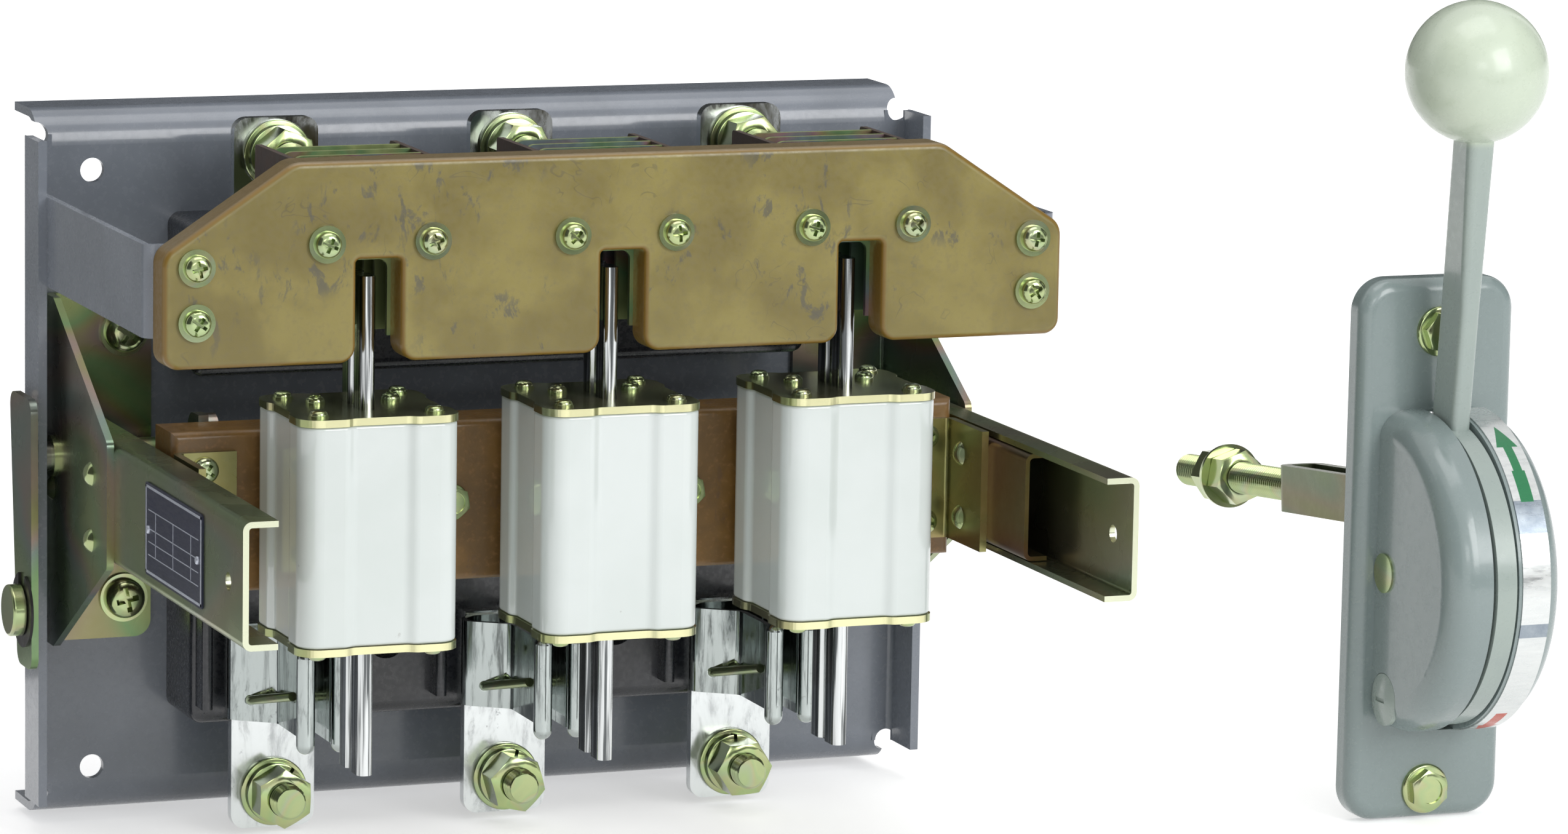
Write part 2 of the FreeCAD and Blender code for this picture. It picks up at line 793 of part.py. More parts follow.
def fuse_outline(x, grow):
    """A square with lobed corners and a shallow dip in each side."""
    half = fuse_size / 2 + grow
    flat = half - fuse_dip
    inner = half - fuse_lobe
    near = inner - 3.0
    points = []
    for turn in range(4):
        corner = [(half, inner, 4.0), (half, half, fuse_corner + grow), (inner, half, 4.0), (near, flat, 4.0)]
        before = (flat, near, 4.0)
        for a, b, r in [before] + corner:
            angle = math.radians(90 * turn)
            px = a * math.cos(angle) - b * math.sin(angle)
            py = a * math.sin(angle) + b * math.cos(angle)
            points.append((x + px, fuse_centre_y + py, r))
    return points


def fuse_body(x):
    low = mid_z - fuse_height / 2
    shape = slab("xy", fuse_outline(x, 0), low, fuse_height)
    rims = [e for e in shape.Edges if e.BoundBox.ZLength < 0.01]
    return shape.makeFillet(fuse_edge, rims)


def blade_outline(x, grow=0.0):
    """Dumb-bell section of the knife blade: two rounded rails and a thin web."""
    half_y = blade_depth / 2 + grow
    half_x = blade_t / 2 + grow
    web = blade_web / 2 + grow
    step = half_y - blade_rail - 2 * grow
    y = fuse_centre_y
    return [(x - half_x, y - half_y, half_x * 0.9), (x + half_x, y - half_y, half_x * 0.9),
            (x + half_x, y - step, 0.6), (x + web, y - step + 1.0, 0.4), (x + web, y + step - 1.0, 0.4),
            (x + half_x, y + step, 0.6), (x + half_x, y + half_y, half_x * 0.9),
            (x - half_x, y + half_y, half_x * 0.9), (x - half_x, y + step, 0.6),
            (x - web, y + step - 1.0, 0.4), (x - web, y - step + 1.0, 0.4), (x - half_x, y - step, 0.6)]


def fuse_blades(x):
    start = fuse_height / 2
    length = blade_reach - start
    return [slab("xy", blade_outline(x), mid_z + start, length),
            slab("xy", blade_outline(x), mid_z - blade_reach, length)]


def fuse_rivet_spots(x):
    half = fuse_rivet_spacing / 2
    return [(x + sx * half, fuse_centre_y + sy * half) for sx in (-1, 1) for sy in (-1, 1)]


def fuse_screw_spots(x):
    return [(x + s * fuse_screw_dx, fuse_centre_y + 6.0) for s in (-1, 1)]


def fuse_seat(x):
    """Hidden zinc pad between a fuse and the beam."""
    view = rectangle(x - seat_half_width, x + seat_half_width, mid_z - seat_half_height, mid_z + seat_half_height, 3.0)
    return slab("xz", view, beam_front - seat_sheet, seat_sheet)


def end_plates(x):
    plates = []
    for z_side in (-1, 1):
        inner = mid_z + z_side * fuse_height / 2
        low = min(inner, inner + z_side * end_plate_t)
        plate = slab("xy", fuse_outline(x, end_plate_over), low, end_plate_t)
        tools = [slab("xy", blade_outline(x, 0.1), low - 1, end_plate_t + 2)]
        for px, py in fuse_rivet_spots(x) + fuse_screw_spots(x):
            tools.append(rod_z(fuse_rivet_d, px, py, low - 1, low + end_plate_t + 1))
        plates.append(plate.cut(tools))
    return plates


def end_plate_fasteners():
    """Rivets and small screws stop at the porcelain; their heads show."""
    rivets = []
    screws = []
    for x in pole_x:
        for z_side in (-1, 1):
            direction = UP * z_side
            outer = mid_z + z_side * (fuse_height / 2 + end_plate_t)
            for px, py in fuse_rivet_spots(x):
                rivets.append(screw(V(px, py, outer), direction, fuse_rivet_d, end_plate_t, fuse_rivet_head, 2.3))
            for px, py in fuse_screw_spots(x):
                screws.append(screw(V(px, py, outer), direction, fuse_rivet_d, end_plate_t, fuse_screw_head, 2.6))
    return rivets, screws


def cross_beam():
    low = mid_z - beam_height / 2
    shape = box(-beam_half_length, beam_half_length, beam_front, beam_back, low, low + beam_height)
    edges = [e for e in shape.Edges if e.BoundBox.YMax < beam_front + 0.01]
    shape = shape.makeFillet(beam_edge, edges)
    tools = []
    for x in pole_x:
        pocket = rectangle(x - pole_pitch / 2 + 14, x + pole_pitch / 2 - 14, low + beam_wall,
                           low + beam_height - beam_wall, 4.0)
        tools.append(slab("xz", pocket, beam_back - beam_pocket_depth, beam_pocket_depth + 1))
    for x, z in end_screw_spots() + beam_bolt_spots():
        tools.append(rod_y(clip_screw_d + hole_clearance, x, beam_front - 1, beam_front + 12, z))
    return shape.cut(tools)


def end_screw_spots():
    x = slider_inner - end_foot + 11.0
    return [(s * x, mid_z + z) for s in (-1, 1) for z in (-15.0, 15.0)]


def beam_bolt_spots():
    return [(s * pole_pitch / 2, mid_z) for s in (-1, 1)]


def beam_screws():
    """Screws of the end brackets, and two larger bolts between the poles."""
    screws = []
    for x, z in end_screw_spots():
        seat = V(x, beam_front - end_sheet, z)
        screws.append(screw(seat, FRONT, clip_screw_d, 11.0, clip_head_d, clip_head_h))
    for x, z in beam_bolt_spots():
        seat = V(x, beam_front, z)
        screws.append(screw(seat, FRONT, clip_screw_d, 11.0, beam_bolt_head_d, beam_bolt_head_h))
    return screws


def slider(side):
    """A small channel that slides inside the arm, its flanges pointing outwards."""
    web = slider_inner + slider_sheet / 2
    half = arm_height / 2 - arm_sheet - slider_clear - slider_sheet / 2
    tip = slider_inner + slider_flange
    fold = [(tip, mid_z + half), (web, mid_z + half), (web, mid_z - half), (tip, mid_z - half)]
    shape = bent_sheet("xz", fold, slider_sheet, slider_sheet * 1.5, slider_front, slider_length)
    shape = shape.cut(end_rivet_bars(slider_inner - 1, slider_inner + slider_sheet + 1))
    return on_side(shape, side)


def end_rivet_bars(x0, x1):
    return [rod_x(arm_rivet_d, x0, x1, beam_front - dy, mid_z + dz) for dy, dz in end_rivets]


def end_bracket(side):
    """Folded angle: one leg on the beam, the other along the slider."""
    leg = slider_inner - end_sheet / 2
    foot = beam_front - end_sheet / 2
    fold = [(leg, beam_front - end_reach), (leg, foot), (slider_inner - end_foot, foot)]
    low = mid_z - end_height / 2
    shape = bent_sheet("xy", fold, end_sheet, end_sheet, low, end_height)
    tools = end_rivet_bars(slider_inner - end_sheet - 1, slider_inner + 1)
    for x, z in end_screw_spots():
        if x > 0:
            tools.append(rod_y(clip_screw_d + hole_clearance, x, beam_front - end_sheet - 1, beam_front + 1, z))
    return on_side(shape.cut(tools), side)


def end_rivet_group():
    rivets = []
    for side in (-1, 1):
        for dy, dz in end_rivets:
            seat = V(slider_inner - end_sheet, beam_front - dy, mid_z + dz)
            shank = rod_x(arm_rivet_d, seat.x, slider_inner + slider_sheet, seat.y, seat.z)
            rivets.append(on_side(domed_head(8.5, 2.4, seat, V(-1, 0, 0)).fuse(shank), side))
    return rivets


def drive_lug(side):
    """Plate on the beam's back that carries the link's hinge pin."""
    x0 = crank_x + crank_sheet + 2 * link_gap + link_sheet
    end = link_pin_d / 2 + 2.5
    view = [(beam_back, lug_bottom), (beam_back, link_pin_z + end), (link_pin_y + end, link_pin_z + end, end * 0.95),
            (link_pin_y + end, link_pin_z - end, 3.0), (beam_back + 3.0, lug_bottom)]
    shape = slab("yz", view, x0, lug_sheet)
    pin = rod_x(link_pin_d, x0 - link_gap - link_sheet, x0, link_pin_y, link_pin_z)
    return on_side(shape.fuse(pin), side)


def crank_shaft():
    """Shaft across the unit; the outside lever is at its left end."""
    left = -flange_outer - lever_gap - lever_sheet
    return rod_x(shaft_d, left, flange_outer + 5.0, shaft_y, shaft_z)


def shaft_bushes():
    bushes = []
    for side in (-1, 1):
        body = rod_x(bush_d, arm_inner - 0.8, bracket_outer, shaft_y, shaft_z)
        flange = rod_x(bush_flange_d, bracket_outer, bracket_outer + bush_flange_t, shaft_y, shaft_z)
        bore = rod_x(shaft_d + 2 * run_fit, arm_inner - 2, bracket_outer + 4, shaft_y, shaft_z)
        bushes.append(on_side(body.fuse(flange).cut(bore), side))
    return bushes


def crank_arm(side):
    """Arm on the shaft, pointing forwards when the switch is open."""
    half = crank_end
    end = shaft_y - crank_radius
    view = rectangle(end - half, shaft_y, shaft_z - half, shaft_z + half, half * 0.98)
    shape = slab("yz", view, crank_x, crank_sheet)
    shape = shape.fuse(rod_x(crank_hub_d, crank_x, crank_x + crank_sheet, shaft_y, shaft_z))
    return on_side(shape.cut(rod_x(shaft_d, crank_x - 6, crank_x + 6, shaft_y, shaft_z)), side)


def link_bar(side):
    """Link between the beam's hinge pin and the end of the crank arm."""
    start = V(0, link_pin_y, link_pin_z)
    span = V(0, shaft_y - crank_radius, shaft_z) - start
    x0 = crank_x + crank_sheet + link_gap
    half = crank_end
    view = rectangle(link_pin_y - half, link_pin_y + span.Length + half, link_pin_z - half, link_pin_z + half,
                     half * 0.98)
    shape = slab("yz", view, x0, link_sheet)
    shape = shape.cut([rod_x(link_pin_d + 2 * run_fit, x0 - 1, x0 + 5, link_pin_y, link_pin_z),
                       rod_x(link_pin_d, x0 - 1, x0 + 5, link_pin_y + span.Length, link_pin_z)])
    shape.rotate(start, V(1, 0, 0), math.degrees(math.atan2(span.z, span.y)))
    return on_side(shape, side)


def crank_lever():
    """Outside lever on the left, hanging down, with the tail pin near its end."""
    x = -flange_outer - lever_gap - lever_sheet
    view = [(lever_back_top, lever_top, lever_corner), (lever_back_bottom, lever_bottom, lever_corner),
            (lever_front_bottom, lever_bottom, lever_corner), (lever_front_top, lever_top, lever_corner)]
    shape = slab("yz", view, x, lever_sheet)
    holes = [rod_x(shaft_d, x - 1, x + 4, shaft_y, shaft_z), rod_x(tail_pin_d, x - 1, x + 4, tail_pin_y, tail_pin_z)]
    return shape.cut(holes)


def tail_pin():
    x = -flange_outer - lever_gap
    shank = rod_x(tail_pin_d, x, x - lever_sheet - clip_t - 0.5, tail_pin_y, tail_pin_z)
    head_x = x - lever_sheet - clip_t - 0.5
    head = rod_x(tail_head_d, head_x, head_x - tail_head_h, tail_pin_y, tail_pin_z)
    rim = [e for e in head.Edges if e.BoundBox.XMax < head_x - tail_head_h + 0.01]
    head = head.makeFillet(1.0, rim)
    return shank.fuse(head)


def retaining_clip():
    x = -flange_outer - lever_gap - lever_sheet
    ring = rod_x(clip_d, x - clip_t, x, tail_pin_y, tail_pin_z)
    ring = ring.cut(rod_x(tail_pin_d, x - 5, x + 1, tail_pin_y, tail_pin_z))
    mouth = box(x - 5, x + 1, tail_pin_y - tail_pin_d * 0.4, tail_pin_y + tail_pin_d * 0.4, tail_pin_z, tail_pin_z + clip_d)
    return ring.cut(mouth)


def handle_point(dx, dy, dz):
    return V(handle_x + dx, handle_pivot_y + dy, handle_pivot_z + dz)


def rod_pin_place():
    """Rest place of the rod's pin behind and above the handle's pivot."""
    return rod_pin_back, rod_pin_up


def handle_housing():
    """One casting: mounting plate with a rounded rim and a slotted half drum."""
    x, y, z = handle_x, drum_y, handle_pivot_z
    half_w, half_h = handle_plate_width / 2, handle_plate_height / 2
    z_mid = z + handle_plate_centre
    back = handle_plate_front + handle_plate_depth
    view = rectangle(x - half_w, x + half_w, z_mid - half_h, z_mid + half_h, handle_corner)
    plate = slab("xz", view, handle_plate_front, handle_plate_depth)
    rim = [e for e in plate.Edges if e.BoundBox.YMax < handle_plate_front + 0.01]
    plate = plate.makeFillet(handle_edge, rim)
    inset = handle_wall
    view = rectangle(x - half_w + inset, x + half_w - inset, z_mid - half_h + inset, z_mid + half_h - inset,
                     handle_corner - inset)
    hollow = slab("xz", view, handle_plate_front + handle_wall, handle_plate_depth)
    drum = rod_x(2 * dome_radius, x - dome_half_width, x + dome_half_width, y, z)
    drum = drum.makeFillet(dome_edge, [e for e in drum.Edges if e.BoundBox.XLength < 0.01])
    drum = drum.common(box(x - 60, x + 60, y - 90, back, z - 90, z + 90))
    centre = x + hub_slot_x
    inner = rod_x(2 * housing_cavity, centre - cavity_half_width, centre + cavity_half_width, y, z)
    inner = inner.fuse(box(centre - cavity_half_width, centre + cavity_half_width, y, back + 1, z - 12.0, z + 40.0))
    shape = plate.cut(hollow).fuse(drum).cut(inner)
    low, behind = z - hub_radius - 1.5, handle_plate_front - 1.4
    left, right = centre - hub_slot / 2, centre + hub_slot / 2
    tools = [box(left, right, y - 90, behind, low, z + dome_radius + 3.0),
             box(left, right, behind, back + 1, low, z + hub_radius + 1.3),
             rod_x(pivot_d + 2 * run_fit, x - 40, x + 40, handle_pivot_y, z)]
    for z_bolt in handle_bolt_z:
        tools.append(rod_y(handle_bolt_d + hole_clearance, x, handle_plate_front - 1, back + 1, z_bolt))
    face = x - dome_half_width
    tools.append(rod_x(plug_d - 4.0, face - 1, face + 5.0, y - plug_forward, z - plug_drop))
    tools.append(rod_x(plug_d + 0.4, face - 3, face + plug_pocket, y - plug_forward, z - plug_drop))
    return shape.cut(tools).removeSplitter()


def indicator_strip():
    """Thin metal strip that follows the drum to the right of the slot."""
    x0 = handle_x + strip_x - strip_width / 2
    outer = rod_x(2 * (dome_radius + strip_t), x0, x0 + strip_width, drum_y, handle_pivot_z)
    inner = rod_x(2 * dome_radius + 0.1, x0 - 1, x0 + strip_width + 1, drum_y, handle_pivot_z)
    front = box(x0 - 1, x0 + strip_width + 1, handle_pivot_y - 90, handle_plate_front - 6.0,
                handle_pivot_z - 90, handle_pivot_z + 90)
    return outer.cut(inner).common(front)


def handle_bolts():
    bolts = []
    for z in handle_bolt_z:
        seat = V(handle_x, handle_plate_front, z)
        flange = Part.makeCylinder(handle_bolt_flange / 2, 1.6, seat, FRONT)
        head = hex_bar(handle_bolt_af, seat, FRONT, handle_bolt_h, 0)
        shank = Part.makeCylinder(handle_bolt_d / 2, 22.0, seat, FRONT * -1)
        bolts.append(shank.fuse([flange, head]).removeSplitter())
    return bolts


def pivot_pin():
    x0 = handle_x - dome_half_width
    pin = rod_x(pivot_d, x0, handle_x + dome_half_width, handle_pivot_y, handle_pivot_z)
    head = rod_x(pivot_head_d, x0 - 0.8, x0, handle_pivot_y, handle_pivot_z)
    return pin.fuse(head)


def slotted_plug():
    """White plug low on the left cheek, with a slot across its head."""
    x0 = handle_x - dome_half_width
    centre = V(x0, drum_y - plug_forward, handle_pivot_z - plug_drop)
    head = domed_head(plug_d, 1.6, centre, V(-1, 0, 0))
    rim = rod_x(plug_d, x0, x0 + plug_pocket, centre.y, centre.z)
    stem = rod_x(plug_d - 4.4, x0, x0 + 4.6, centre.y, centre.z)
    groove = box(x0 - 3.0, x0 - 0.8, centre.y - 3.5, centre.y + 3.5, centre.z - 0.8, centre.z + 0.8)
    return head.fuse([rim, stem]).cut(groove)


def lever_direction():
    angle = math.radians(lever_lean)
    return V(0, -math.sin(angle), math.cos(angle))


def operating_lever():
    """Hub disc, tapering lever and ball, moulded as one white piece."""
    x, y, z = handle_x + hub_slot_x, handle_pivot_y, handle_pivot_z
    hub = rod_x(2 * hub_radius, x - hub_t / 2, x + hub_t / 2, y, z)
    sector = [(y + 9.0, z - 12.0), (y + 9.0, z + 60), (y - 80, z + 60), (y - 80, z - 80), (y - 3.0, z - 80)]
    hub = hub.common(slab("yz", sector, x - hub_t, 2 * hub_t))
    root = loft_section(lever_root_width, lever_root_t, x, 44.0)
    mouth = loft_section(lever_root_width, lever_root_t, x, 95.0)
    neck = loft_section(lever_neck_width, lever_neck_t, x, ball_reach - 14.0)
    shaft = Part.makeLoft([root, mouth, neck], True, True)
    arm = lever_direction() * ball_reach
    ball = Part.makeSphere(ball_d / 2, V(x, y, z) + arm)
    shape = hub.fuse([shaft, ball])
    pin_y, pin_z = rod_pin_place()
    shape = shape.fuse(hub_crank(x, y, z, pin_y, pin_z))
    bores = [rod_x(pivot_d + 2 * run_fit, x - 30, x + 30, y, z),
             rod_x(rod_pin_d + 2 * run_fit, x - 30, x + 30, y + pin_y, z + pin_z)]
    return shape.cut(bores).removeSplitter()


def hub_crank(x, y, z, pin_y, pin_z):
    """Boss round the crank pin, joined to the hub."""
    boss = rod_x(16.0, x - hub_t / 2, x + hub_t / 2, y + pin_y, z + pin_z)
    core = rod_x(26.0, x - hub_t / 2, x + hub_t / 2, y, z)
    across = V(0, pin_y, pin_z).normalize()
    side = V(0, -across.z, across.y) * 8.0
    corners = [V(0, y, z) + side, V(0, y + pin_y, z + pin_z) + side,
               V(0, y + pin_y, z + pin_z) - side, V(0, y, z) - side]
    web = slab("yz", [(p.y, p.z) for p in corners], x - hub_t / 2, hub_t)
    return boss.fuse([core, web])


def loft_section(width, thickness, x, reach):
    """Rounded rectangle across the lever at a distance from the pivot."""
    face = outline(rectangle(-thickness / 2, thickness / 2, -width / 2, width / 2, min(width, thickness) * 0.3))
    face.translate(V(0, (width - lever_root_width) / 12 - lever_shift, 0))
    face.rotate(V(0, 0, 0), V(1, 0, 0), lever_lean)
    face.translate(V(x, handle_pivot_y, handle_pivot_z) + lever_direction() * reach)
    return face


def along_rod(distance):
    """A point on the rod's axis, measured back from the crank pin."""
    pin_y, pin_z = rod_pin_place()
    tilt = math.radians(rod_tilt)
    start = handle_point(hub_slot_x, pin_y, pin_z)
    return start + V(0, math.cos(tilt), -math.sin(tilt)) * distance


def tilt_rod(shape):
    pin_y, pin_z = rod_pin_place()
    shape.rotate(handle_point(hub_slot_x, pin_y, pin_z), V(1, 0, 0), -rod_tilt)
    return shape


def rod_yoke():
    """Folded strap that straddles the hub; drawn level, then tilted."""
    pin_y, pin_z = rod_pin_place()
    pin = handle_point(hub_slot_x, pin_y, pin_z)
    leg = yoke_gap / 2 + yoke_sheet / 2
    base = pin.y + yoke_length - yoke_sheet / 2
    nose = pin.y - yoke_height / 2
    fold = [(pin.x - leg, nose), (pin.x - leg, base), (pin.x + leg, base), (pin.x + leg, nose)]
    shape = bent_sheet("xy", fold, yoke_sheet, yoke_sheet / 2 + yoke_bend, pin.z - yoke_height / 2, yoke_height)
    ends = [(nose, pin.z - yoke_height / 2, yoke_height * 0.49), (base + 9, pin.z - yoke_height / 2),
            (base + 9, pin.z + yoke_height / 2), (nose, pin.z + yoke_height / 2, yoke_height * 0.49)]
    shape = shape.common(slab("yz", ends, pin.x - 20, 40))
    shape = shape.cut([rod_x(rod_pin_d, pin.x - 20, pin.x + 20, pin.y, pin.z),
                       rod_y(rod_d, pin.x, base - 6, base + 9, pin.z)])
    return tilt_rod(shape)


def rod_pin():
    pin_y, pin_z = rod_pin_place()
    pin = handle_point(hub_slot_x, pin_y, pin_z)
    half = yoke_gap / 2 + yoke_sheet
    body = rod_x(rod_pin_d, pin.x - half, pin.x + half, pin.y, pin.z)
    heads = [rod_x(rod_pin_d + 3.0, pin.x + s * half, pin.x + s * (half + 1.2), pin.y, pin.z) for s in (-1, 1)]
    return body.fuse(heads)


def threaded_rod():
    start = along_rod(yoke_length - yoke_sheet)
    end = along_rod(yoke_length + rod_length)
    bar = rod(rod_d, start, end)
    tip = [e for e in bar.Edges if abs(e.CenterOfMass.y - end.y) < 1.0 and e.Closed]
    return bar.makeChamfer(1.5, tip[:1])


def rod_stack():
    """Two nuts with a washer between them, on the threaded rod."""
    direction = (along_rod(1) - along_rod(0)).normalize()
    bore = Part.makeCylinder(rod_d / 2 + run_fit, 120, along_rod(yoke_length), direction)
    at = yoke_length + rod_nut_at
    front_nut = hex_bar(rod_nut_af, along_rod(at), direction, rod_nut_t, 12).cut(bore)
    washer_at = at + rod_nut_t
    disc = Part.makeCylinder(rod_washer_d / 2, rod_washer_t, along_rod(washer_at), direction).cut(bore)
    back_at = washer_at + rod_washer_t + rod_grip
    back_nut = hex_bar(rod_nut_af, along_rod(back_at), direction, rod_nut_t, 40).cut(bore)
    return [front_nut, back_nut], disc


def build_base():
    keep("base_plate", base_plate())
    for name, side in both_sides:
        keep(name + "_side_bracket", side_bracket(side))
        keep(name + "_channel_arm", channel_arm(side))
        keep(name + "_front_bracket", front_bracket(side))
    keep("arm_rivets", arm_rivet_group())
    screws, washers = bracket_fasteners()
    keep("bracket_screws", screws)
    keep("bracket_washers", washers)
    keep("nameplate", nameplate())
    keep("front_barrier", front_barrier())
    screws, washers = barrier_fasteners()
    keep("barrier_screws", screws)
    keep("barrier_washers", washers)
    keep("shaft_bushes", shaft_bushes())


def build_chutes():
    keep("chute_side_boards", [board for x in pole_x for board in chute_boards(x)])
    keep("splitter_plates", [plate for x in pole_x for plate in splitter_plates(x)])


def build_contacts():
    keep("upper_insulator", insulator_block(1))
    keep("lower_insulator", insulator_block(-1))
    rows = (("upper", 1), ("lower", -1))
    fasteners = [terminal_fasteners(z_side) for name, z_side in rows]
    for name, z_side in rows:
        keep(name + "_terminals", [terminal(x, z_side) for x in pole_x])
        keep(name + "_jaws", [contact_jaw(x, z_side) for x in pole_x])
        keep(name + "_jaw_springs", [jaw_spring(x, z_side, spring_d) for x in pole_x])
    for number, name in enumerate(("terminal_bolts", "terminal_nuts", "terminal_washers")):
        keep(name, fasteners[0][number] + fasteners[1][number])


def build_carriage():
    keep("cross_beam", cross_beam())
    for name, side in both_sides:
        keep(name + "_slider", slider(side))
        keep(name + "_end_bracket", end_bracket(side))
    keep("drive_lugs", [drive_lug(-1), drive_lug(1)])
    keep("end_bracket_rivets", end_rivet_group())
    keep("fuse_seats", [fuse_seat(x) for x in pole_x])
    keep("beam_screws", beam_screws())
    for number, x in enumerate(pole_x, 1):
        keep(f"fuse_body_{number}", fuse_body(x))
    keep("fuse_end_plates", [plate for x in pole_x for plate in end_plates(x)])
    keep("fuse_blades", [blade for x in pole_x for blade in fuse_blades(x)])
    rivets, screws = end_plate_fasteners()
    keep("fuse_rivets", rivets + screws)


def build_crank():
    keep("crank_shaft", crank_shaft())
    keep("crank_arms", [crank_arm(-1), crank_arm(1)])
    keep("link_bars", [link_bar(-1), link_bar(1)])
    keep("crank_lever", crank_lever())
    keep("tail_pin", tail_pin())
    keep("retaining_clip", retaining_clip())


def build_handle():
    keep("handle_housing", handle_housing())
    keep("indicator_strip", indicator_strip())
    keep("handle_bolts", handle_bolts())
    keep("handle_pivot_pin", pivot_pin())
    keep("slotted_plug", slotted_plug())
    keep("operating_lever", operating_lever())
    keep("rod_yoke", rod_yoke())
    keep("rod_pin", rod_pin())
    keep("threaded_rod", threaded_rod())
    nuts, disc = rod_stack()
    keep("rod_nuts", nuts + [disc])


def main():
    os.makedirs("parts", exist_ok=True)
    build_base()
    build_chutes()
    build_contacts()
    build_carriage()
    build_crank()
    build_handle()


main()
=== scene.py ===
"""Looks for a three-pole fuse switch disconnector, shown open, with its separate operating handle."""
import math

import bmesh
import bpy
from mathutils import Matrix, Vector


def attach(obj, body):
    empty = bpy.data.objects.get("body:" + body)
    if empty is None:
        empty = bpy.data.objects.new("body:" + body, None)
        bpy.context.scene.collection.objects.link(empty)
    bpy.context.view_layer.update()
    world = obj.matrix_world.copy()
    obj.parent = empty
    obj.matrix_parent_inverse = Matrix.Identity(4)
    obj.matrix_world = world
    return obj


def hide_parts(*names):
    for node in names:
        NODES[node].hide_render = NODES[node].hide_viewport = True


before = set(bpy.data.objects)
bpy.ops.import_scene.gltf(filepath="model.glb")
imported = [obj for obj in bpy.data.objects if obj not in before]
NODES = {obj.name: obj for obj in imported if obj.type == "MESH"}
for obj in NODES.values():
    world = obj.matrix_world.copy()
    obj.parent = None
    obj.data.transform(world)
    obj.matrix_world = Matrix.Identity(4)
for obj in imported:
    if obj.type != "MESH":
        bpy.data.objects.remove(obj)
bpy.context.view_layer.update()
MM = 0.001

bl_info = {
    "name": "Fuse Switch Looks",
    "version": (1, 0, 0),
    "blender": (4, 5, 0),
    "location": "View3D > Sidebar > Fuse Switch",
    "description": "Finishes and small details for a fuse switch disconnector and its handle",
    "category": "Object",
}

POLES = (-0.085, 0.0, 0.085)
MID_Z = 0.002
DRUM = Vector((0.3128, -0.1392, -0.0332))
FRONT = Vector((0, -1, 0))
BALL_FOOT = 0.121
STRIP_MIDDLE = 0.00985
ARROW_SLOPE = 0.00034


def linear(r, g, b):
    """An 8-bit colour as the linear values that the shaders take."""
    def one(v):
        v = v / 255
        return v / 12.92 if v <= 0.04045 else ((v + 0.055) / 1.055) ** 2.4
    return (one(r), one(g), one(b), 1.0)


def colour_property(name, description, rgb):
    return bpy.props.FloatVectorProperty(name=name, description=description, subtype="COLOR", size=3,
                                         min=0, max=1, default=linear(*rgb)[:3])


class FinishColours(bpy.types.PropertyGroup):
    """Colours that a user would change"""
    paint: colour_property("Base paint", "Blue-grey enamel of the base plate", (130, 136, 146))
    paint_dark: colour_property("Base paint, dark", "Darker patches of the base enamel", (116, 122, 131))
    board: colour_property("Barrier board", "Tan phenolic of the front barrier", (141, 129, 68))
    board_rim: colour_property("Barrier rim", "Warmer resin on the barrier's rounded rim", (128, 100, 38))
    beam: colour_property("Beam resin", "Orange-brown resin of the cross beam", (134, 98, 44))
    porcelain: colour_property("Porcelain", "Glazed white of the fuse bodies", (222, 229, 227))
    tin: colour_property("Tin", "Bright tin plating of contacts and blades", (206, 210, 210))
    enamel: colour_property("Handle enamel", "Grey-green enamel of the handle housing", (139, 153, 152))
    grip: colour_property("Ball grip", "Greenish white plastic of the ball", (209, 221, 200))
    lever: colour_property("Lever", "Paler grey-green plastic of the lever", (157, 170, 165))
    green: colour_property("Green mark", "Upper arrow of the indicator", (36, 122, 76))
    red: colour_property("Red mark", "Lower arrow of the indicator", (196, 72, 44))


class DetailSizes(bpy.types.PropertyGroup):
    """Sizes of the small parts that the scene models"""
    thread_pitch: bpy.props.FloatProperty(name="Thread pitch", description="Pitch of the 12 mm threads",
                                          default=1.75 * MM, unit="LENGTH")
    thread_depth: bpy.props.FloatProperty(name="Thread depth", description="Depth of the 12 mm threads",
                                          default=0.85 * MM, unit="LENGTH")
    cross_width: bpy.props.FloatProperty(name="Recess width",
                                         description="Width of a recess arm, as a share of the head's radius",
                                         default=0.36, min=0.1, max=0.5)
    nut_flats: bpy.props.FloatProperty(name="Nut flats", description="Across flats of the terminal nuts",
                                       default=18 * MM, unit="LENGTH")


# Shader helpers

def new_node(tree, kind, **settings):
    """A node whose settings go to its sockets, or to itself where it has no such socket."""
    node = tree.nodes.new(kind)
    for key, value in settings.items():
        if key in node.inputs.keys():
            node.inputs[key].default_value = value
        else:
            setattr(node, key, value)
    return node


def math_node(tree, operation, first, second=None):
    node = tree.nodes.new("ShaderNodeMath")
    node.operation = operation
    for socket, value in zip(node.inputs, (first, second)):
        if isinstance(value, (int, float)):
            socket.default_value = value
        elif value is not None:
            tree.links.new(value, socket)
    return node.outputs[0]


def times(tree, first, second):
    return math_node(tree, "MULTIPLY", first, second)


def less(tree, first, second):
    return math_node(tree, "SUBTRACT", first, second)


def between(tree, value, low, high, out_low=0.0, out_high=1.0):
    """A smooth step of the value from one output to the other."""
    node = tree.nodes.new("ShaderNodeMapRange")
    node.interpolation_type = "SMOOTHSTEP"
    tree.links.new(value, node.inputs["Value"])
    for key, number in (("From Min", low), ("From Max", high), ("To Min", out_low), ("To Max", out_high)):
        node.inputs[key].default_value = number
    return node.outputs["Result"]


def noise(tree, vector, scale, detail=3.0, rough=0.5, distortion=0.0):
    node = new_node(tree, "ShaderNodeTexNoise", Scale=scale, Detail=detail, Roughness=rough,
                    Distortion=distortion)
    tree.links.new(vector, node.inputs["Vector"])
    return node.outputs["Fac"]


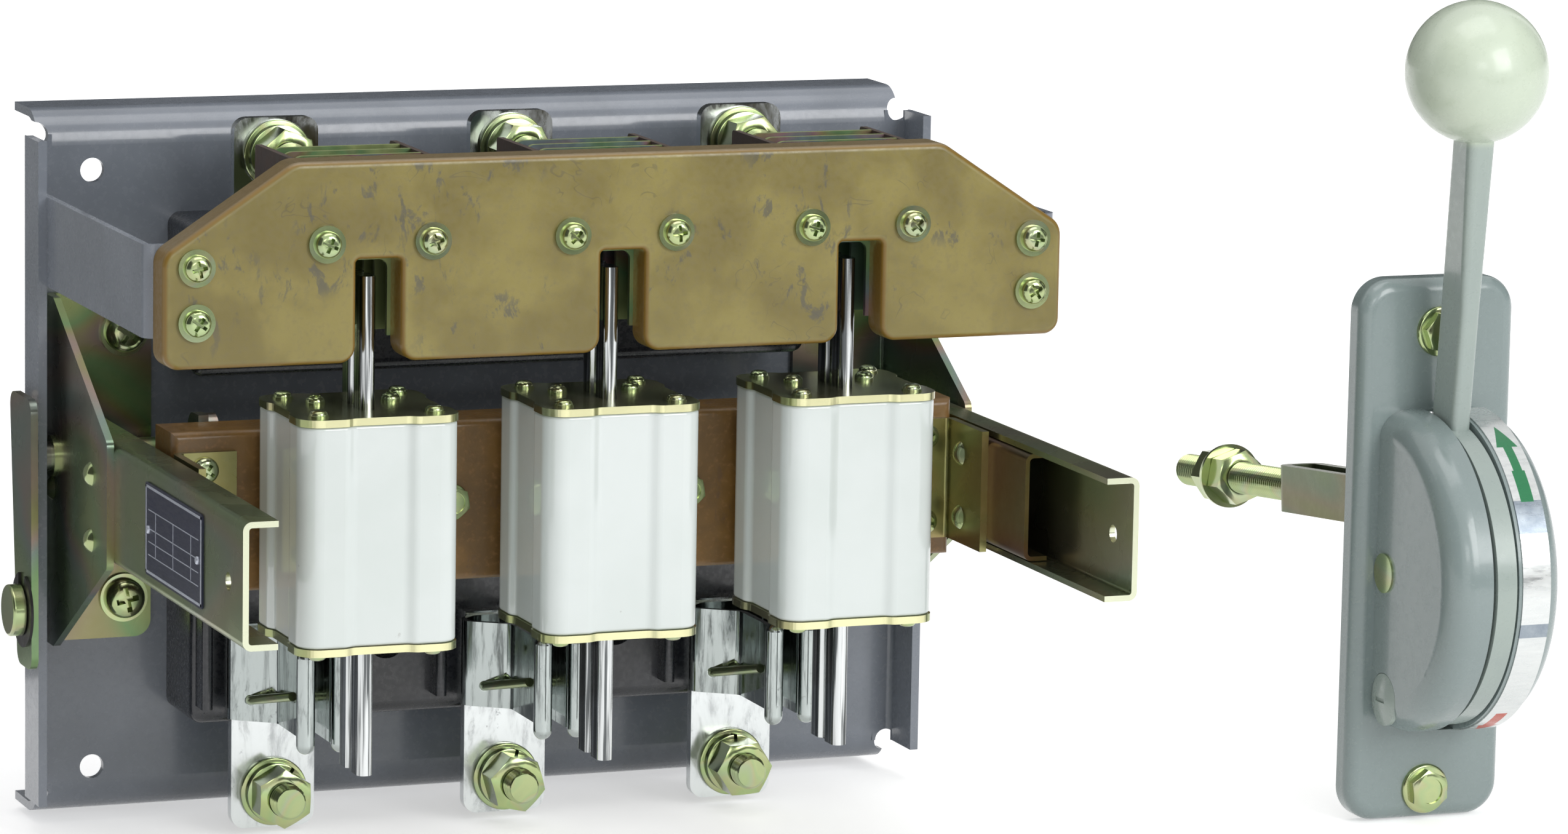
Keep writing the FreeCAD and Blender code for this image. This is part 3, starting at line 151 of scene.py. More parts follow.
def stretched(tree, vector, scale, turn=(0, 0, 0), shift=(0, 0, 0)):
    """The vector turned, moved and stretched."""
    node = new_node(tree, "ShaderNodeMapping", Scale=scale, Rotation=turn, Location=shift)
    tree.links.new(vector, node.inputs["Vector"])
    return node.outputs["Vector"]


def blend_colour(tree, factor, first, second):
    node = tree.nodes.new("ShaderNodeMix")
    node.data_type = "RGBA"
    if isinstance(factor, (int, float)):
        node.inputs["Factor"].default_value = factor
    else:
        tree.links.new(factor, node.inputs["Factor"])
    for socket, value in ((node.inputs[6], first), (node.inputs[7], second)):
        if isinstance(value, (tuple, list)):
            socket.default_value = value
        else:
            tree.links.new(value, socket)
    return node.outputs[2]


def scaled(tree, given):
    """The group's vector times the group's scale."""
    node = new_node(tree, "ShaderNodeVectorMath", operation="SCALE")
    tree.links.new(given["Vector"], node.inputs[0])
    tree.links.new(given["Scale"], node.inputs["Scale"])
    return node.outputs[0]


def colour_ramp(tree, factor, stops):
    node = tree.nodes.new("ShaderNodeValToRGB")
    ramp = node.color_ramp
    while len(ramp.elements) < len(stops):
        ramp.elements.new(0.5)
    for element, (place, colour) in zip(ramp.elements, stops):
        element.position = place
        element.color = colour
    tree.links.new(factor, node.inputs["Fac"])
    return node.outputs["Color"]


GROUPS = {}
MATERIALS = {}


def effect_group(name):
    """A shader node group that takes a vector and a scale, built once."""
    if name in GROUPS:
        return GROUPS[name]
    build, scale, outputs = EFFECTS[name]
    tree = bpy.data.node_groups.new(name, "ShaderNodeTree")
    tree.interface.new_socket("Vector", in_out="INPUT", socket_type="NodeSocketVector")
    socket = tree.interface.new_socket("Scale", in_out="INPUT", socket_type="NodeSocketFloat")
    socket.default_value = scale
    for label, kind in outputs:
        tree.interface.new_socket(label, in_out="OUTPUT", socket_type=kind)
    start = tree.nodes.new("NodeGroupInput")
    end = tree.nodes.new("NodeGroupOutput")
    build(tree, start.outputs, end.inputs)
    GROUPS[name] = tree
    return tree


def effect(tree, name, vector, scale):
    """Places an effect group in a material and gives its outputs."""
    node = tree.nodes.new("ShaderNodeGroup")
    node.node_tree = effect_group(name)
    tree.links.new(vector, node.inputs["Vector"])
    node.inputs["Scale"].default_value = scale
    return node.outputs


def build_scuffs(tree, given, result):
    """Thin wandering scratches inside sparse patches, and small rubbed spots."""
    vector = scaled(tree, given)
    level = less(tree, noise(tree, vector, 1.1, 2.0, 0.6, 1.2), 0.5)
    line = less(tree, 1.0, between(tree, math_node(tree, "ABSOLUTE", level), 0.004, 0.012))
    elsewhere = stretched(tree, vector, (0.9, 0.9, 0.9), shift=(5, 1, 3))
    place = between(tree, noise(tree, elsewhere, 0.9, 2.0, 0.6), 0.57, 0.63)
    tree.links.new(times(tree, line, place), result["Scratches"])
    smear = stretched(tree, vector, (2.6, 2.6, 1.3), (0, 0.6, 0))
    blot = between(tree, noise(tree, smear, 1.0, 5.0, 0.7, 0.4), 0.55, 0.63)
    third = stretched(tree, vector, (1, 1, 1), shift=(9, 4, 7))
    patch = between(tree, noise(tree, third, 0.55, 1.0, 0.5), 0.46, 0.56)
    tree.links.new(times(tree, blot, patch), result["Spots"])


def build_zinc_tint(tree, given, result):
    """Soft rose, violet and green bands of passivated zinc, and fine spangle."""
    vector = stretched(tree, scaled(tree, given), (1.0, 0.6, 1.2), (0.3, 0.5, 0.2))
    broad = noise(tree, vector, 1.0, 1.0, 0.4, 0.8)
    tint = colour_ramp(tree, broad, (
        (0.25, linear(112, 128, 86)), (0.38, linear(146, 156, 104)), (0.45, linear(108, 142, 98)),
        (0.50, linear(138, 126, 92)), (0.54, linear(146, 116, 120)), (0.59, linear(112, 126, 130)),
        (0.66, linear(104, 138, 96)), (0.80, linear(156, 158, 100))))
    tree.links.new(tint, result["Color"])
    tree.links.new(noise(tree, given["Vector"], 260.0, 3.0, 0.6), result["Patches"])


def build_mottle(tree, given, result):
    """Cloudy variation on two scales."""
    vector = scaled(tree, given)
    broad = noise(tree, vector, 1.0, 3.0, 0.55, 0.3)
    tree.links.new(between(tree, broad, 0.32, 0.68), result["Clouds"])
    tree.links.new(noise(tree, vector, 14.0, 4.0, 0.6), result["Grain"])


EFFECTS = {
    "Scuffs": (build_scuffs, 60.0, (("Scratches", "NodeSocketFloat"), ("Spots", "NodeSocketFloat"))),
    "Zinc Tint": (build_zinc_tint, 18.0, (("Color", "NodeSocketColor"), ("Patches", "NodeSocketFloat"))),
    "Mottle": (build_mottle, 30.0, (("Clouds", "NodeSocketFloat"), ("Grain", "NodeSocketFloat"))),
}


class Finish:
    """One material, filed by its name: a Principled shader with Object coordinates at hand."""

    def __init__(self, name, roughness=0.4, metallic=0.0, coat=0.0, coat_roughness=0.05):
        self.material = bpy.data.materials.new(name)
        MATERIALS[name] = self.material
        self.material.use_nodes = True
        self.tree = self.material.node_tree
        self.tree.nodes.clear()
        self.shader = self.tree.nodes.new("ShaderNodeBsdfPrincipled")
        out = self.tree.nodes.new("ShaderNodeOutputMaterial")
        self.tree.links.new(self.shader.outputs[0], out.inputs[0])
        for socket, value in (("Roughness", roughness), ("Metallic", metallic), ("Coat Weight", coat),
                              ("Coat Roughness", coat_roughness)):
            self.shader.inputs[socket].default_value = value
        self.vector = self.tree.nodes.new("ShaderNodeTexCoord").outputs["Object"]

    def set(self, socket, value):
        if isinstance(value, (tuple, list, float, int)):
            self.shader.inputs[socket].default_value = value
        else:
            self.tree.links.new(value, self.shader.inputs[socket])

    def rough(self, mask, low, high):
        """Roughness that follows the middle of a mask."""
        self.set("Roughness", between(self.tree, mask, 0.3, 0.7, low, high))

    def bump(self, height, strength, distance):
        node = new_node(self.tree, "ShaderNodeBump", Strength=strength, Distance=distance)
        self.tree.links.new(height, node.inputs["Height"])
        self.tree.links.new(node.outputs["Normal"], self.shader.inputs["Normal"])

    def part(self, vector, axis):
        node = self.tree.nodes.new("ShaderNodeSeparateXYZ")
        self.tree.links.new(vector, node.inputs[0])
        return node.outputs[axis]

    def normal(self, axis):
        return self.part(self.tree.nodes.new("ShaderNodeNewGeometry").outputs["True Normal"], axis)

    def squarely(self, axis):
        """How squarely a face looks along an axis, either way."""
        return math_node(self.tree, "ABSOLUTE", self.normal(axis))


def colours():
    return bpy.context.scene.finish_colours


def full(rgb):
    return (rgb[0], rgb[1], rgb[2], 1.0)


def paint_finish(name, light, dark, scale):
    """Glossy paint with soft clouds and a fine skin."""
    f = Finish(name, 0.24, 0.0, 0.35, 0.08)
    t = f.tree
    mottle = effect(t, "Mottle", f.vector, scale)
    f.set("Base Color", blend_colour(t, times(t, mottle["Clouds"], 0.8), light, dark))
    f.rough(mottle["Grain"], 0.21, 0.30)
    f.bump(noise(t, f.vector, 260.0, 2.0, 0.5), 0.03, 0.0002)


def zinc_finish(name, plain, bands, scale, roughness, edge, painted_shade_flank=None, cut=None):
    """Plain yellow-green zinc under soft bands, with a painted highlight where it turns away.

    Bands is the share of the tinted bands, and edge the share of the pale painted rim highlight.
    With a flank colour, the sides of a nut are painted darker, as painted shade.
    With a cut colour, the front edge of a sheet is paler, as a painted highlight."""
    f = Finish(name, roughness, 0.9)
    t = f.tree
    zinc = effect(t, "Zinc Tint", f.vector, scale)
    tint = blend_colour(t, bands, plain, zinc["Color"])
    tint = blend_colour(t, between(t, zinc["Patches"], 0.35, 0.75, 0.0, 0.05), tint, linear(180, 184, 156))
    # Painted shade: faces that don't look along Y, the sides of a nut, are darkened towards the flank colour.
    if painted_shade_flank:
        side = between(t, f.squarely("Y"), 0.35, 0.8, 0.8, 0.0)
        tint = blend_colour(t, side, tint, painted_shade_flank)
    # Painted highlight: faces that look along Y, the front edges of a sheet, are blended to the paler cut
    # colour.
    if cut:
        front = between(t, f.squarely("Y"), 0.75, 0.95)
        tint = blend_colour(t, front, tint, cut)
    # Painted highlight: a pale colour blended into the base colour where the surface turns away from the
    # view; edge sets its share.
    facing = new_node(t, "ShaderNodeLayerWeight", Blend=0.35)
    rim = between(t, facing.outputs["Facing"], 0.45, 0.95, 0.0, edge)
    f.set("Base Color", blend_colour(t, rim, tint, linear(222, 226, 188)))
    f.rough(noise(t, f.vector, 45.0, 2.0, 0.5), roughness - 0.02, roughness + 0.04)
    f.bump(noise(t, f.vector, 900.0, 2.0, 0.5), 0.03, 0.00006)


def tin_finish(name, base, streak, roughness, drawn):
    """Bright tin with darker streaks drawn out along Z, partly the plating's own marks and partly painted
    dark reflections, and small grey specks.
    """
    f = Finish(name, roughness, 1.0)
    t = f.tree
    streaks = noise(t, stretched(t, f.vector, drawn), 130.0, 5.0, 0.7, 0.4)
    specks = between(t, noise(t, f.vector, 420.0, 3.0, 0.7), 0.60, 0.72)
    cloudy = between(t, noise(t, f.vector, 36.0, 2.0, 0.5), 0.45, 0.68)
    mask = times(t, specks, cloudy)
    # Darker streaks along Z: partly the plating's own marks, partly painted dark reflections.
    colour = blend_colour(t, between(t, streaks, 0.48, 0.70, 0.0, 0.6), base, streak)
    colour = blend_colour(t, times(t, mask, 0.7), colour, linear(88, 90, 92))
    f.set("Base Color", colour)
    f.set("Roughness", between(t, streaks, 0.35, 0.75, roughness - 0.08, roughness + 0.18))
    f.bump(noise(t, f.vector, 500.0, 3.0, 0.6), 0.04, 0.0001)


def blade_finish():
    """Polished silver with fine dark lines along Z, partly drawing marks and partly painted dark reflection
    stripes.
    """
    f = Finish("polished_blade", 0.12, 1.0)
    t = f.tree
    drawn = noise(t, stretched(t, f.vector, (1.0, 1.0, 0.02)), 620.0, 3.0, 0.6)
    # Dark lines along Z: partly drawing marks, partly painted dark reflection stripes.
    lines = between(t, drawn, 0.43, 0.56, 0.0, 0.9)
    f.set("Base Color", blend_colour(t, lines, linear(206, 209, 209), linear(58, 62, 64)))
    f.rough(drawn, 0.10, 0.24)
    f.bump(drawn, 0.05, 0.0002)


def board_finish():
    """Tan resin board, with warmer rims, a greyer top that is partly dust and partly a painted reflection,
    and worn spots on its front.
    """
    f = Finish("phenolic_board", 0.38, 0.0, 0.25, 0.15)
    t = f.tree
    c = colours()
    mottle = effect(t, "Mottle", f.vector, 34.0)
    base = blend_colour(t, mottle["Clouds"], linear(116, 104, 50), full(c.board))
    base = blend_colour(t, between(t, mottle["Grain"], 0.45, 0.75, 0.0, 0.35), base, linear(112, 102, 66))
    front = between(t, f.squarely("Y"), 0.80, 0.995)
    base = blend_colour(t, less(t, 1.0, front), base, full(c.board_rim))
    # Greyer top: faces that look up are blended to grey, partly as dust and partly as a painted reflection of
    # the light above.
    top = between(t, f.normal("Z"), 0.6, 0.95)
    base = blend_colour(t, times(t, top, 0.45), base, linear(112, 110, 98))
    scuffs = effect(t, "Scuffs", f.vector, 52.0)
    marks = times(t, scuffs["Scratches"], front)
    spots = times(t, times(t, scuffs["Spots"], front), 0.7)
    base = blend_colour(t, times(t, marks, 0.35), base, linear(70, 66, 56))
    base = blend_colour(t, spots, base, linear(78, 78, 72))
    f.set("Base Color", base)
    f.rough(mottle["Grain"], 0.30, 0.48)
    f.bump(mottle["Grain"], 0.12, 0.0004)


def beam_finish():
    f = Finish("phenolic_beam", 0.42, 0.0, 0.2, 0.2)
    t = f.tree
    mottle = effect(t, "Mottle", f.vector, 40.0)
    base = blend_colour(t, mottle["Clouds"], linear(104, 76, 34), full(colours().beam))
    base = blend_colour(t, between(t, mottle["Grain"], 0.5, 0.8, 0.0, 0.5), base, linear(160, 118, 74))
    scuffs = effect(t, "Scuffs", f.vector, 60.0)
    base = blend_colour(t, times(t, scuffs["Spots"], 0.4), base, linear(92, 70, 52))
    f.set("Base Color", base)
    f.rough(mottle["Grain"], 0.34, 0.52)
    f.bump(mottle["Grain"], 0.15, 0.0004)


def porcelain_finish():
    f = Finish("glazed_porcelain", 0.16, 0.0, 0.6, 0.04)
    t = f.tree
    mottle = effect(t, "Mottle", f.vector, 22.0)
    base = blend_colour(t, mottle["Clouds"], linear(216, 224, 221), full(colours().porcelain))
    specks = between(t, noise(t, f.vector, 300.0, 2.0, 0.5), 0.76, 0.80, 0.0, 0.35)
    f.set("Base Color", blend_colour(t, specks, base, linear(160, 162, 156)))
    f.rough(mottle["Grain"], 0.12, 0.22)
    f.bump(noise(t, f.vector, 160.0, 2.0, 0.5), 0.05, 0.0005)


def splitter_finish():
    """Zinc plated steel with lighter, duller top edges."""
    f = Finish("splitter_zinc", 0.34, 0.8)
    t = f.tree
    zinc = effect(t, "Zinc Tint", f.vector, 20.0)
    edge = between(t, f.squarely("Z"), 0.6, 0.95)
    f.set("Base Color", blend_colour(t, edge, zinc["Color"], linear(164, 176, 122)))
    f.set("Metallic", less(t, 0.8, times(t, edge, 0.6)))
    f.rough(zinc["Patches"], 0.3, 0.36)
    f.bump(noise(t, f.vector, 900.0, 2.0, 0.5), 0.03, 0.00006)


def moulding_finish():
    f = Finish("black_moulding", 0.26, 0.0, 0.3, 0.1)
    t = f.tree
    mottle = effect(t, "Mottle", f.vector, 50.0)
    f.set("Base Color", blend_colour(t, mottle["Clouds"], linear(34, 36, 40), linear(44, 47, 53)))
    f.rough(mottle["Grain"], 0.2, 0.4)
    f.bump(mottle["Grain"], 0.03, 0.0002)


def grained(f, grain, dark, light, rough, relief):
    """Colour, roughness and relief that all follow one grain."""
    f.set("Base Color", blend_colour(f.tree, grain, dark, light))
    f.rough(grain, *rough)
    f.bump(grain, *relief)


def fibre_finish():
    """Dull layered board of the arc chutes."""
    f = Finish("fibre_board", 0.62)
    layers = noise(f.tree, stretched(f.tree, f.vector, (4.0, 1.0, 1.0)), 160.0, 5.0, 0.65)
    grained(f, layers, linear(46, 38, 34), linear(92, 78, 70), (0.5, 0.72), (0.3, 0.0004))


def dark_steel_finish():
    f = Finish("dark_spring_steel", 0.42, 0.8)
    grain = noise(f.tree, f.vector, 240.0, 4.0, 0.6)
    grained(f, grain, linear(34, 34, 36), linear(66, 64, 62), (0.34, 0.55), (0.1, 0.0003))


def plate_finish():
    """Dark blue sheet of the nameplate, brushed along its length."""
    f = Finish("nameplate_blue", 0.5)
    f.set("Specular IOR Level", 0.3)
    grain = noise(f.tree, stretched(f.tree, f.vector, (1.0, 0.2, 1.0)), 700.0, 3.0, 0.6)
    grained(f, grain, linear(30, 33, 52), linear(44, 48, 70), (0.28, 0.42), (0.05, 0.0002))


def print_finish():
    """Silver border, rules and rivets of the nameplate."""
    f = Finish("nameplate_silver", 0.36, 0.6)
    grain = noise(f.tree, f.vector, 600.0, 3.0, 0.6)
    grained(f, grain, linear(176, 182, 196), linear(206, 210, 220), (0.3, 0.46), (0.04, 0.0002))


def grip_finish():
    """Two plastics: the lever below the foot of the ball, and the paler ball."""
    f = Finish("grip_plastic", 0.3, 0.0, 0.35, 0.12)
    t = f.tree
    mottle = effect(t, "Mottle", f.vector, 24.0)
    c = colours()
    ball = between(t, f.part(f.vector, "Z"), BALL_FOOT - 0.002, BALL_FOOT + 0.002)
    base = blend_colour(t, ball, full(c.lever), full(c.grip))
    base = blend_colour(t, times(t, mottle["Clouds"], 0.25), base, linear(182, 196, 182))
    f.set("Base Color", base)
    f.rough(mottle["Grain"], 0.24, 0.38)
    f.bump(mottle["Grain"], 0.04, 0.0004)


def indicator_finish():
    """Aluminium strip with a green arrow above and a red one below, and plain silver fields between."""
    f = Finish("indicator_strip", 0.3, 0.9)
    t = f.tree
    c = colours()
    across = less(t, f.part(f.vector, "X"), DRUM.x + STRIP_MIDDLE)
    wide = math_node(t, "ABSOLUTE", across)
    ahead = less(t, DRUM.y, f.part(f.vector, "Y"))
    above = less(t, f.part(f.vector, "Z"), DRUM.z)
    angle = math_node(t, "DEGREES", math_node(t, "ARCTAN2", above, ahead))

    def band(low, high):
        return times(t, math_node(t, "GREATER_THAN", angle, low), math_node(t, "LESS_THAN", angle, high))

    def narrower(width):
        return math_node(t, "LESS_THAN", wide, width)

    brushed = noise(t, stretched(t, f.vector, (0.2, 1.0, 1.0)), 500.0, 3.0, 0.6)
    base = blend_colour(t, brushed, linear(196, 200, 200), linear(226, 228, 226))
    dull = blend_colour(t, noise(t, f.vector, 160.0, 4.0, 0.7), linear(104, 116, 130), linear(176, 184, 190))
    base = blend_colour(t, band(22.0, 34.0), base, dull)
    base = blend_colour(t, band(-15.0, -10.0), base, dull)
    head = times(t, narrower(times(t, less(t, 69.0, angle), ARROW_SLOPE)), band(57.0, 69.0))
    shaft = times(t, narrower(0.0017), band(33.5, 57.0))
    tail = times(t, narrower(0.0025), band(33.5, 46.0))
    up = math_node(t, "MAXIMUM", math_node(t, "MAXIMUM", head, shaft), tail)
    base = blend_colour(t, up, base, full(c.green))
    tip = times(t, narrower(times(t, math_node(t, "ADD", angle, 76.0), ARROW_SLOPE)), band(-76.0, -65.0))
    stem = times(t, narrower(0.0022), band(-65.0, -53.0))
    down = math_node(t, "MAXIMUM", tip, stem)
    base = blend_colour(t, down, base, full(c.red))
    marked = math_node(t, "MAXIMUM", up, down)
    f.set("Base Color", base)
    f.set("Metallic", less(t, 0.85, times(t, marked, 0.85)))
    f.rough(brushed, 0.22, 0.36)
    f.bump(brushed, 0.05, 0.0002)


FINISHES = {
    "blue_grey_paint": "base_plate left_front_bracket right_front_bracket",
    "zinc_broad": """left_side_bracket right_side_bracket crank_lever fuse_seats link_bars crank_arms
        drive_lugs crank_shaft""",
    "splitter_zinc": "splitter_plates",
    "zinc_warm_shaded": "left_slider right_slider",
    "zinc_olive": "left_end_bracket right_end_bracket",
    "zinc_arm": "left_channel_arm right_channel_arm",
    "zinc_deep": "rod_yoke",
    "zinc_dark": "fuse_end_plates",
    "zinc_small": """arm_rivets bracket_screws bracket_washers barrier_screws barrier_washers shaft_bushes
        upper_jaw_springs lower_jaw_springs terminal_bolts terminal_nuts terminal_washers handle_bolts
        handle_pivot_pin end_bracket_rivets beam_screws fuse_rivets tail_pin rod_pin threaded_rod rod_nuts""",
    "dark_spring_steel": "retaining_clip",
    "nameplate_blue": "nameplate",
    "phenolic_board": "front_barrier",
    "phenolic_beam": "cross_beam",
    "fibre_board": "chute_side_boards",
    "black_moulding": "upper_insulator lower_insulator",
    "tinned_copper": "upper_terminals lower_terminals",
    "jaw_tin": "upper_jaws lower_jaws",
    "polished_blade": "fuse_blades",
    "glazed_porcelain": "fuse_body_1 fuse_body_2 fuse_body_3",
    "handle_enamel": "handle_housing",
    "indicator_strip": "indicator_strip",
    "grip_plastic": "operating_lever slotted_plug",
}
ZINC_FINISHES = {
    # edge is the share of the painted rim highlight in each zinc.
    "zinc_broad": dict(plain=linear(120, 133, 94), bands=0.7, scale=14.0, roughness=0.26, edge=0.3),
    # zinc_arm's cut colour is a painted highlight on the front edges of the arms.
    "zinc_arm": dict(plain=linear(120, 128, 86), bands=0.35, scale=12.0, roughness=0.26, edge=0.3,
                     cut=linear(206, 210, 184)),
    "zinc_small": dict(plain=linear(184, 196, 146), bands=0.35, scale=50.0, roughness=0.15, edge=0.4),
    # zinc_nut's flank colour is painted shade on the sides of the nuts.
    "zinc_nut": dict(plain=linear(184, 200, 142), bands=0.35, scale=50.0, roughness=0.15, edge=0.2,
                     painted_shade_flank=linear(62, 74, 50)),
    "zinc_olive": dict(plain=linear(140, 126, 80), bands=0.3, scale=16.0, roughness=0.26, edge=0.3),
    "zinc_deep": dict(plain=linear(84, 92, 46), bands=0.25, scale=16.0, roughness=0.28, edge=0.3),
    # A darker, warmer copy of the zinc for the sliders: the warm tint is the chromate's own, and the darkness
    # is painted shade.
    "zinc_warm_shaded": dict(plain=linear(112, 78, 50), bands=0.25, scale=14.0, roughness=0.3, edge=0.3),
    # zinc_dark's cut colour is a painted highlight on the front edges of the end plates.
    "zinc_dark": dict(plain=linear(164, 166, 118), bands=0.3, scale=16.0, roughness=0.2, edge=0.4,
                      cut=linear(214, 212, 168)),
}


def build_finishes():
    c = colours()
    for name, settings in ZINC_FINISHES.items():
        zinc_finish(name, **settings)
    paint_finish("blue_grey_paint", full(c.paint), full(c.paint_dark), 26.0)
    paint_finish("handle_enamel", full(c.enamel), linear(135, 149, 148), 20.0)
    tin_finish("tinned_copper", full(c.tin), linear(150, 154, 156), 0.2, (1.0, 1.0, 0.35))
    # The jaw tin's dark streak colour is partly a painted dark reflection.
    tin_finish("jaw_tin", linear(172, 179, 177), linear(46, 50, 50), 0.12, (2.4, 2.4, 0.3))
    for build in (dark_steel_finish, plate_finish, print_finish, board_finish, beam_finish, fibre_finish,
                  splitter_finish, moulding_finish, blade_finish, porcelain_finish, indicator_finish,
                  grip_finish):
        build()


class FUSESWITCH_OT_finishes(bpy.types.Operator):
    """Gives every carried-over node its finish"""
    bl_idname = "fuseswitch.finishes"
    bl_label = "Finishes"

    def execute(self, context):
        build_finishes()
        for finish, names in FINISHES.items():
            for name in names.split():
                mesh = NODES[name].data
                mesh.materials.clear()
                mesh.materials.append(MATERIALS[finish])
        return {"FINISHED"}


# Small parts, modelled with their axis along +Z and their seat at the origin

def link(obj):
    bpy.context.scene.collection.objects.link(obj)


def deselect():
    bpy.ops.object.select_all(action="DESELECT")


def selected_only(obj):
    deselect()
    obj.select_set(True)
    bpy.context.view_layer.objects.active = obj


def clean_up(obj):
    """Merges doubles and turns every normal outwards."""
    selected_only(obj)
    bpy.ops.object.mode_set(mode="EDIT")
    bpy.ops.mesh.select_all(action="SELECT")
    bpy.ops.mesh.remove_doubles(threshold=2e-6)
    bpy.ops.mesh.normals_make_consistent(inside=False)
    bpy.ops.object.mode_set(mode="OBJECT")


def upright_cylinder(radius, low, high, vertices=40):
    deselect()
    bpy.ops.mesh.primitive_cylinder_add(vertices=vertices, radius=radius, depth=high - low,
                                        location=(0, 0, (low + high) / 2))
    bpy.ops.object.transform_apply(location=True, rotation=True, scale=True)
    return bpy.context.object


def box(place, size, turn=(0, 0, 0)):
    """A block at its place and size; the turn is in degrees."""
    deselect()
    bpy.ops.mesh.primitive_cube_add(size=1, location=place, scale=size,
                                    rotation=[math.radians(angle) for angle in turn])
    bpy.ops.object.transform_apply(location=True, rotation=True, scale=True)
    return bpy.context.object


def select_level(obj, level):
    """Selects the faces that lie flat at one height."""
    selected_only(obj)
    bpy.ops.object.mode_set(mode="EDIT")
    bpy.ops.mesh.select_mode(type="FACE")
    bpy.ops.mesh.select_all(action="DESELECT")
    mesh = bmesh.from_edit_mesh(obj.data)
    for face in mesh.faces:
        face.select = abs(face.calc_center_median().z - level) < 1e-5 and abs(face.normal.z) > 0.9
    mesh.select_flush_mode()
    bmesh.update_edit_mesh(obj.data)


def round_rim(obj, level, amount, segments):
    """Rounds the edges of the flat face at one height."""
    select_level(obj, level)
    bpy.ops.mesh.bevel(offset=amount, segments=segments, affect="EDGES")
    bpy.ops.object.mode_set(mode="OBJECT")


def boolean(obj, tool, operation):
    selected_only(obj)
    modifier = obj.modifiers.new("cut", "BOOLEAN")
    modifier.operation = operation
    modifier.solver = "EXACT"
    modifier.object = tool
    bpy.ops.object.modifier_apply(modifier=modifier.name)
    bpy.data.objects.remove(tool, do_unlink=True)
    if not obj.data.polygons:
        raise RuntimeError("a cut left nothing of " + obj.name)


def drill(obj, radius, top=0.01):
    boolean(obj, upright_cylinder(radius, -0.001, top, 40), "DIFFERENCE")


def join(objects, name):
    deselect()
    for obj in objects:
        obj.select_set(True)
    bpy.context.view_layer.objects.active = objects[0]
    if len(objects) > 1:
        bpy.ops.object.join()
    objects[0].name = name
    objects[0].data.name = name
    return objects[0]


def stand_in(piece, body, slot, *nodes):
    """The piece rides on a body and stands for the plainer nodes, which it hides; the slot is not used."""
    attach(piece, body)
    if nodes:
        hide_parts(*nodes)


def fit(source, name, places, body, *nodes, finish="zinc_small", slot="zinc_chromate", smooth=35):
    """Makes one piece of a small part's copies at all places, and drops the source."""
    copies = []
    for place in places:
        copy = source.copy()
        copy.data = source.data.copy()
        copy.data.transform(place)
        link(copy)
        copies.append(copy)
    bpy.data.objects.remove(source, do_unlink=True)
    piece = join(copies, name)
    piece.data.materials.clear()
    piece.data.materials.append(MATERIALS[finish])
    bpy.ops.object.shade_smooth_by_angle(angle=math.radians(smooth))
    stand_in(piece, body, slot, *nodes)


def facing(point, direction, turn=0.0):
    """Matrix that stands a small part on a point, its +Z along the direction."""
    spin = Matrix.Rotation(math.radians(turn), 4, "Z")
    return Matrix.Translation(point) @ Vector(direction).to_track_quat("Z", "Y").to_matrix().to_4x4() @ spin


def pan_head(radius, height, shank_radius=0.0, shank_length=0.0, cross=True):
    """Rounded screw head with a tapering cross recess."""
    head = upright_cylinder(radius, 0, height)
    round_rim(head, height, height * 0.72, 6)
    if cross:
        width = radius * bpy.context.scene.detail_sizes.cross_width
        reach = radius * 0.8
        for turn in (0, 90):
            tool = box((0, 0, height), (2 * reach, width, height * 1.2), (0, 0, turn))
            low = height * 0.4
            select_level(tool, low)
            bpy.ops.transform.resize(value=(0.45, 0.6, 1), center_override=(0, 0, low))
            bpy.ops.object.mode_set(mode="OBJECT")
            boolean(head, tool, "DIFFERENCE")
    if shank_length:
        head = join([head, upright_cylinder(shank_radius, -shank_length, 0.0, 24)], "screw")
    return head


def chamfered_nut(flats, height, bore=0.0, both=True):
    """Hexagon nut with chamfered corners and an open bore."""
    corner = flats / 2 / math.cos(math.radians(30))
    rise = (corner - flats / 2) * 0.62
    nut = upright_cylinder(corner, 0, height, 6)
    crown = upright_cylinder(corner, rise if both else 0, height - rise, 72)
    ends = ((height - rise, 1), (rise, -1)) if both else ((height - rise, 1),)
    for level, sign in ends:
        select_level(crown, level)
        bpy.ops.mesh.extrude_region_move(TRANSFORM_OT_translate={"value": (0, 0, sign * rise)})
        end = level + sign * rise
        share = flats / 2 * 0.97 / corner
        bpy.ops.transform.resize(value=(share, share, 1), center_override=(0, 0, end))
        bpy.ops.object.mode_set(mode="OBJECT")
    boolean(nut, crown, "INTERSECT")
    if bore:
        drill(nut, bore, height + 0.001)
    return nut


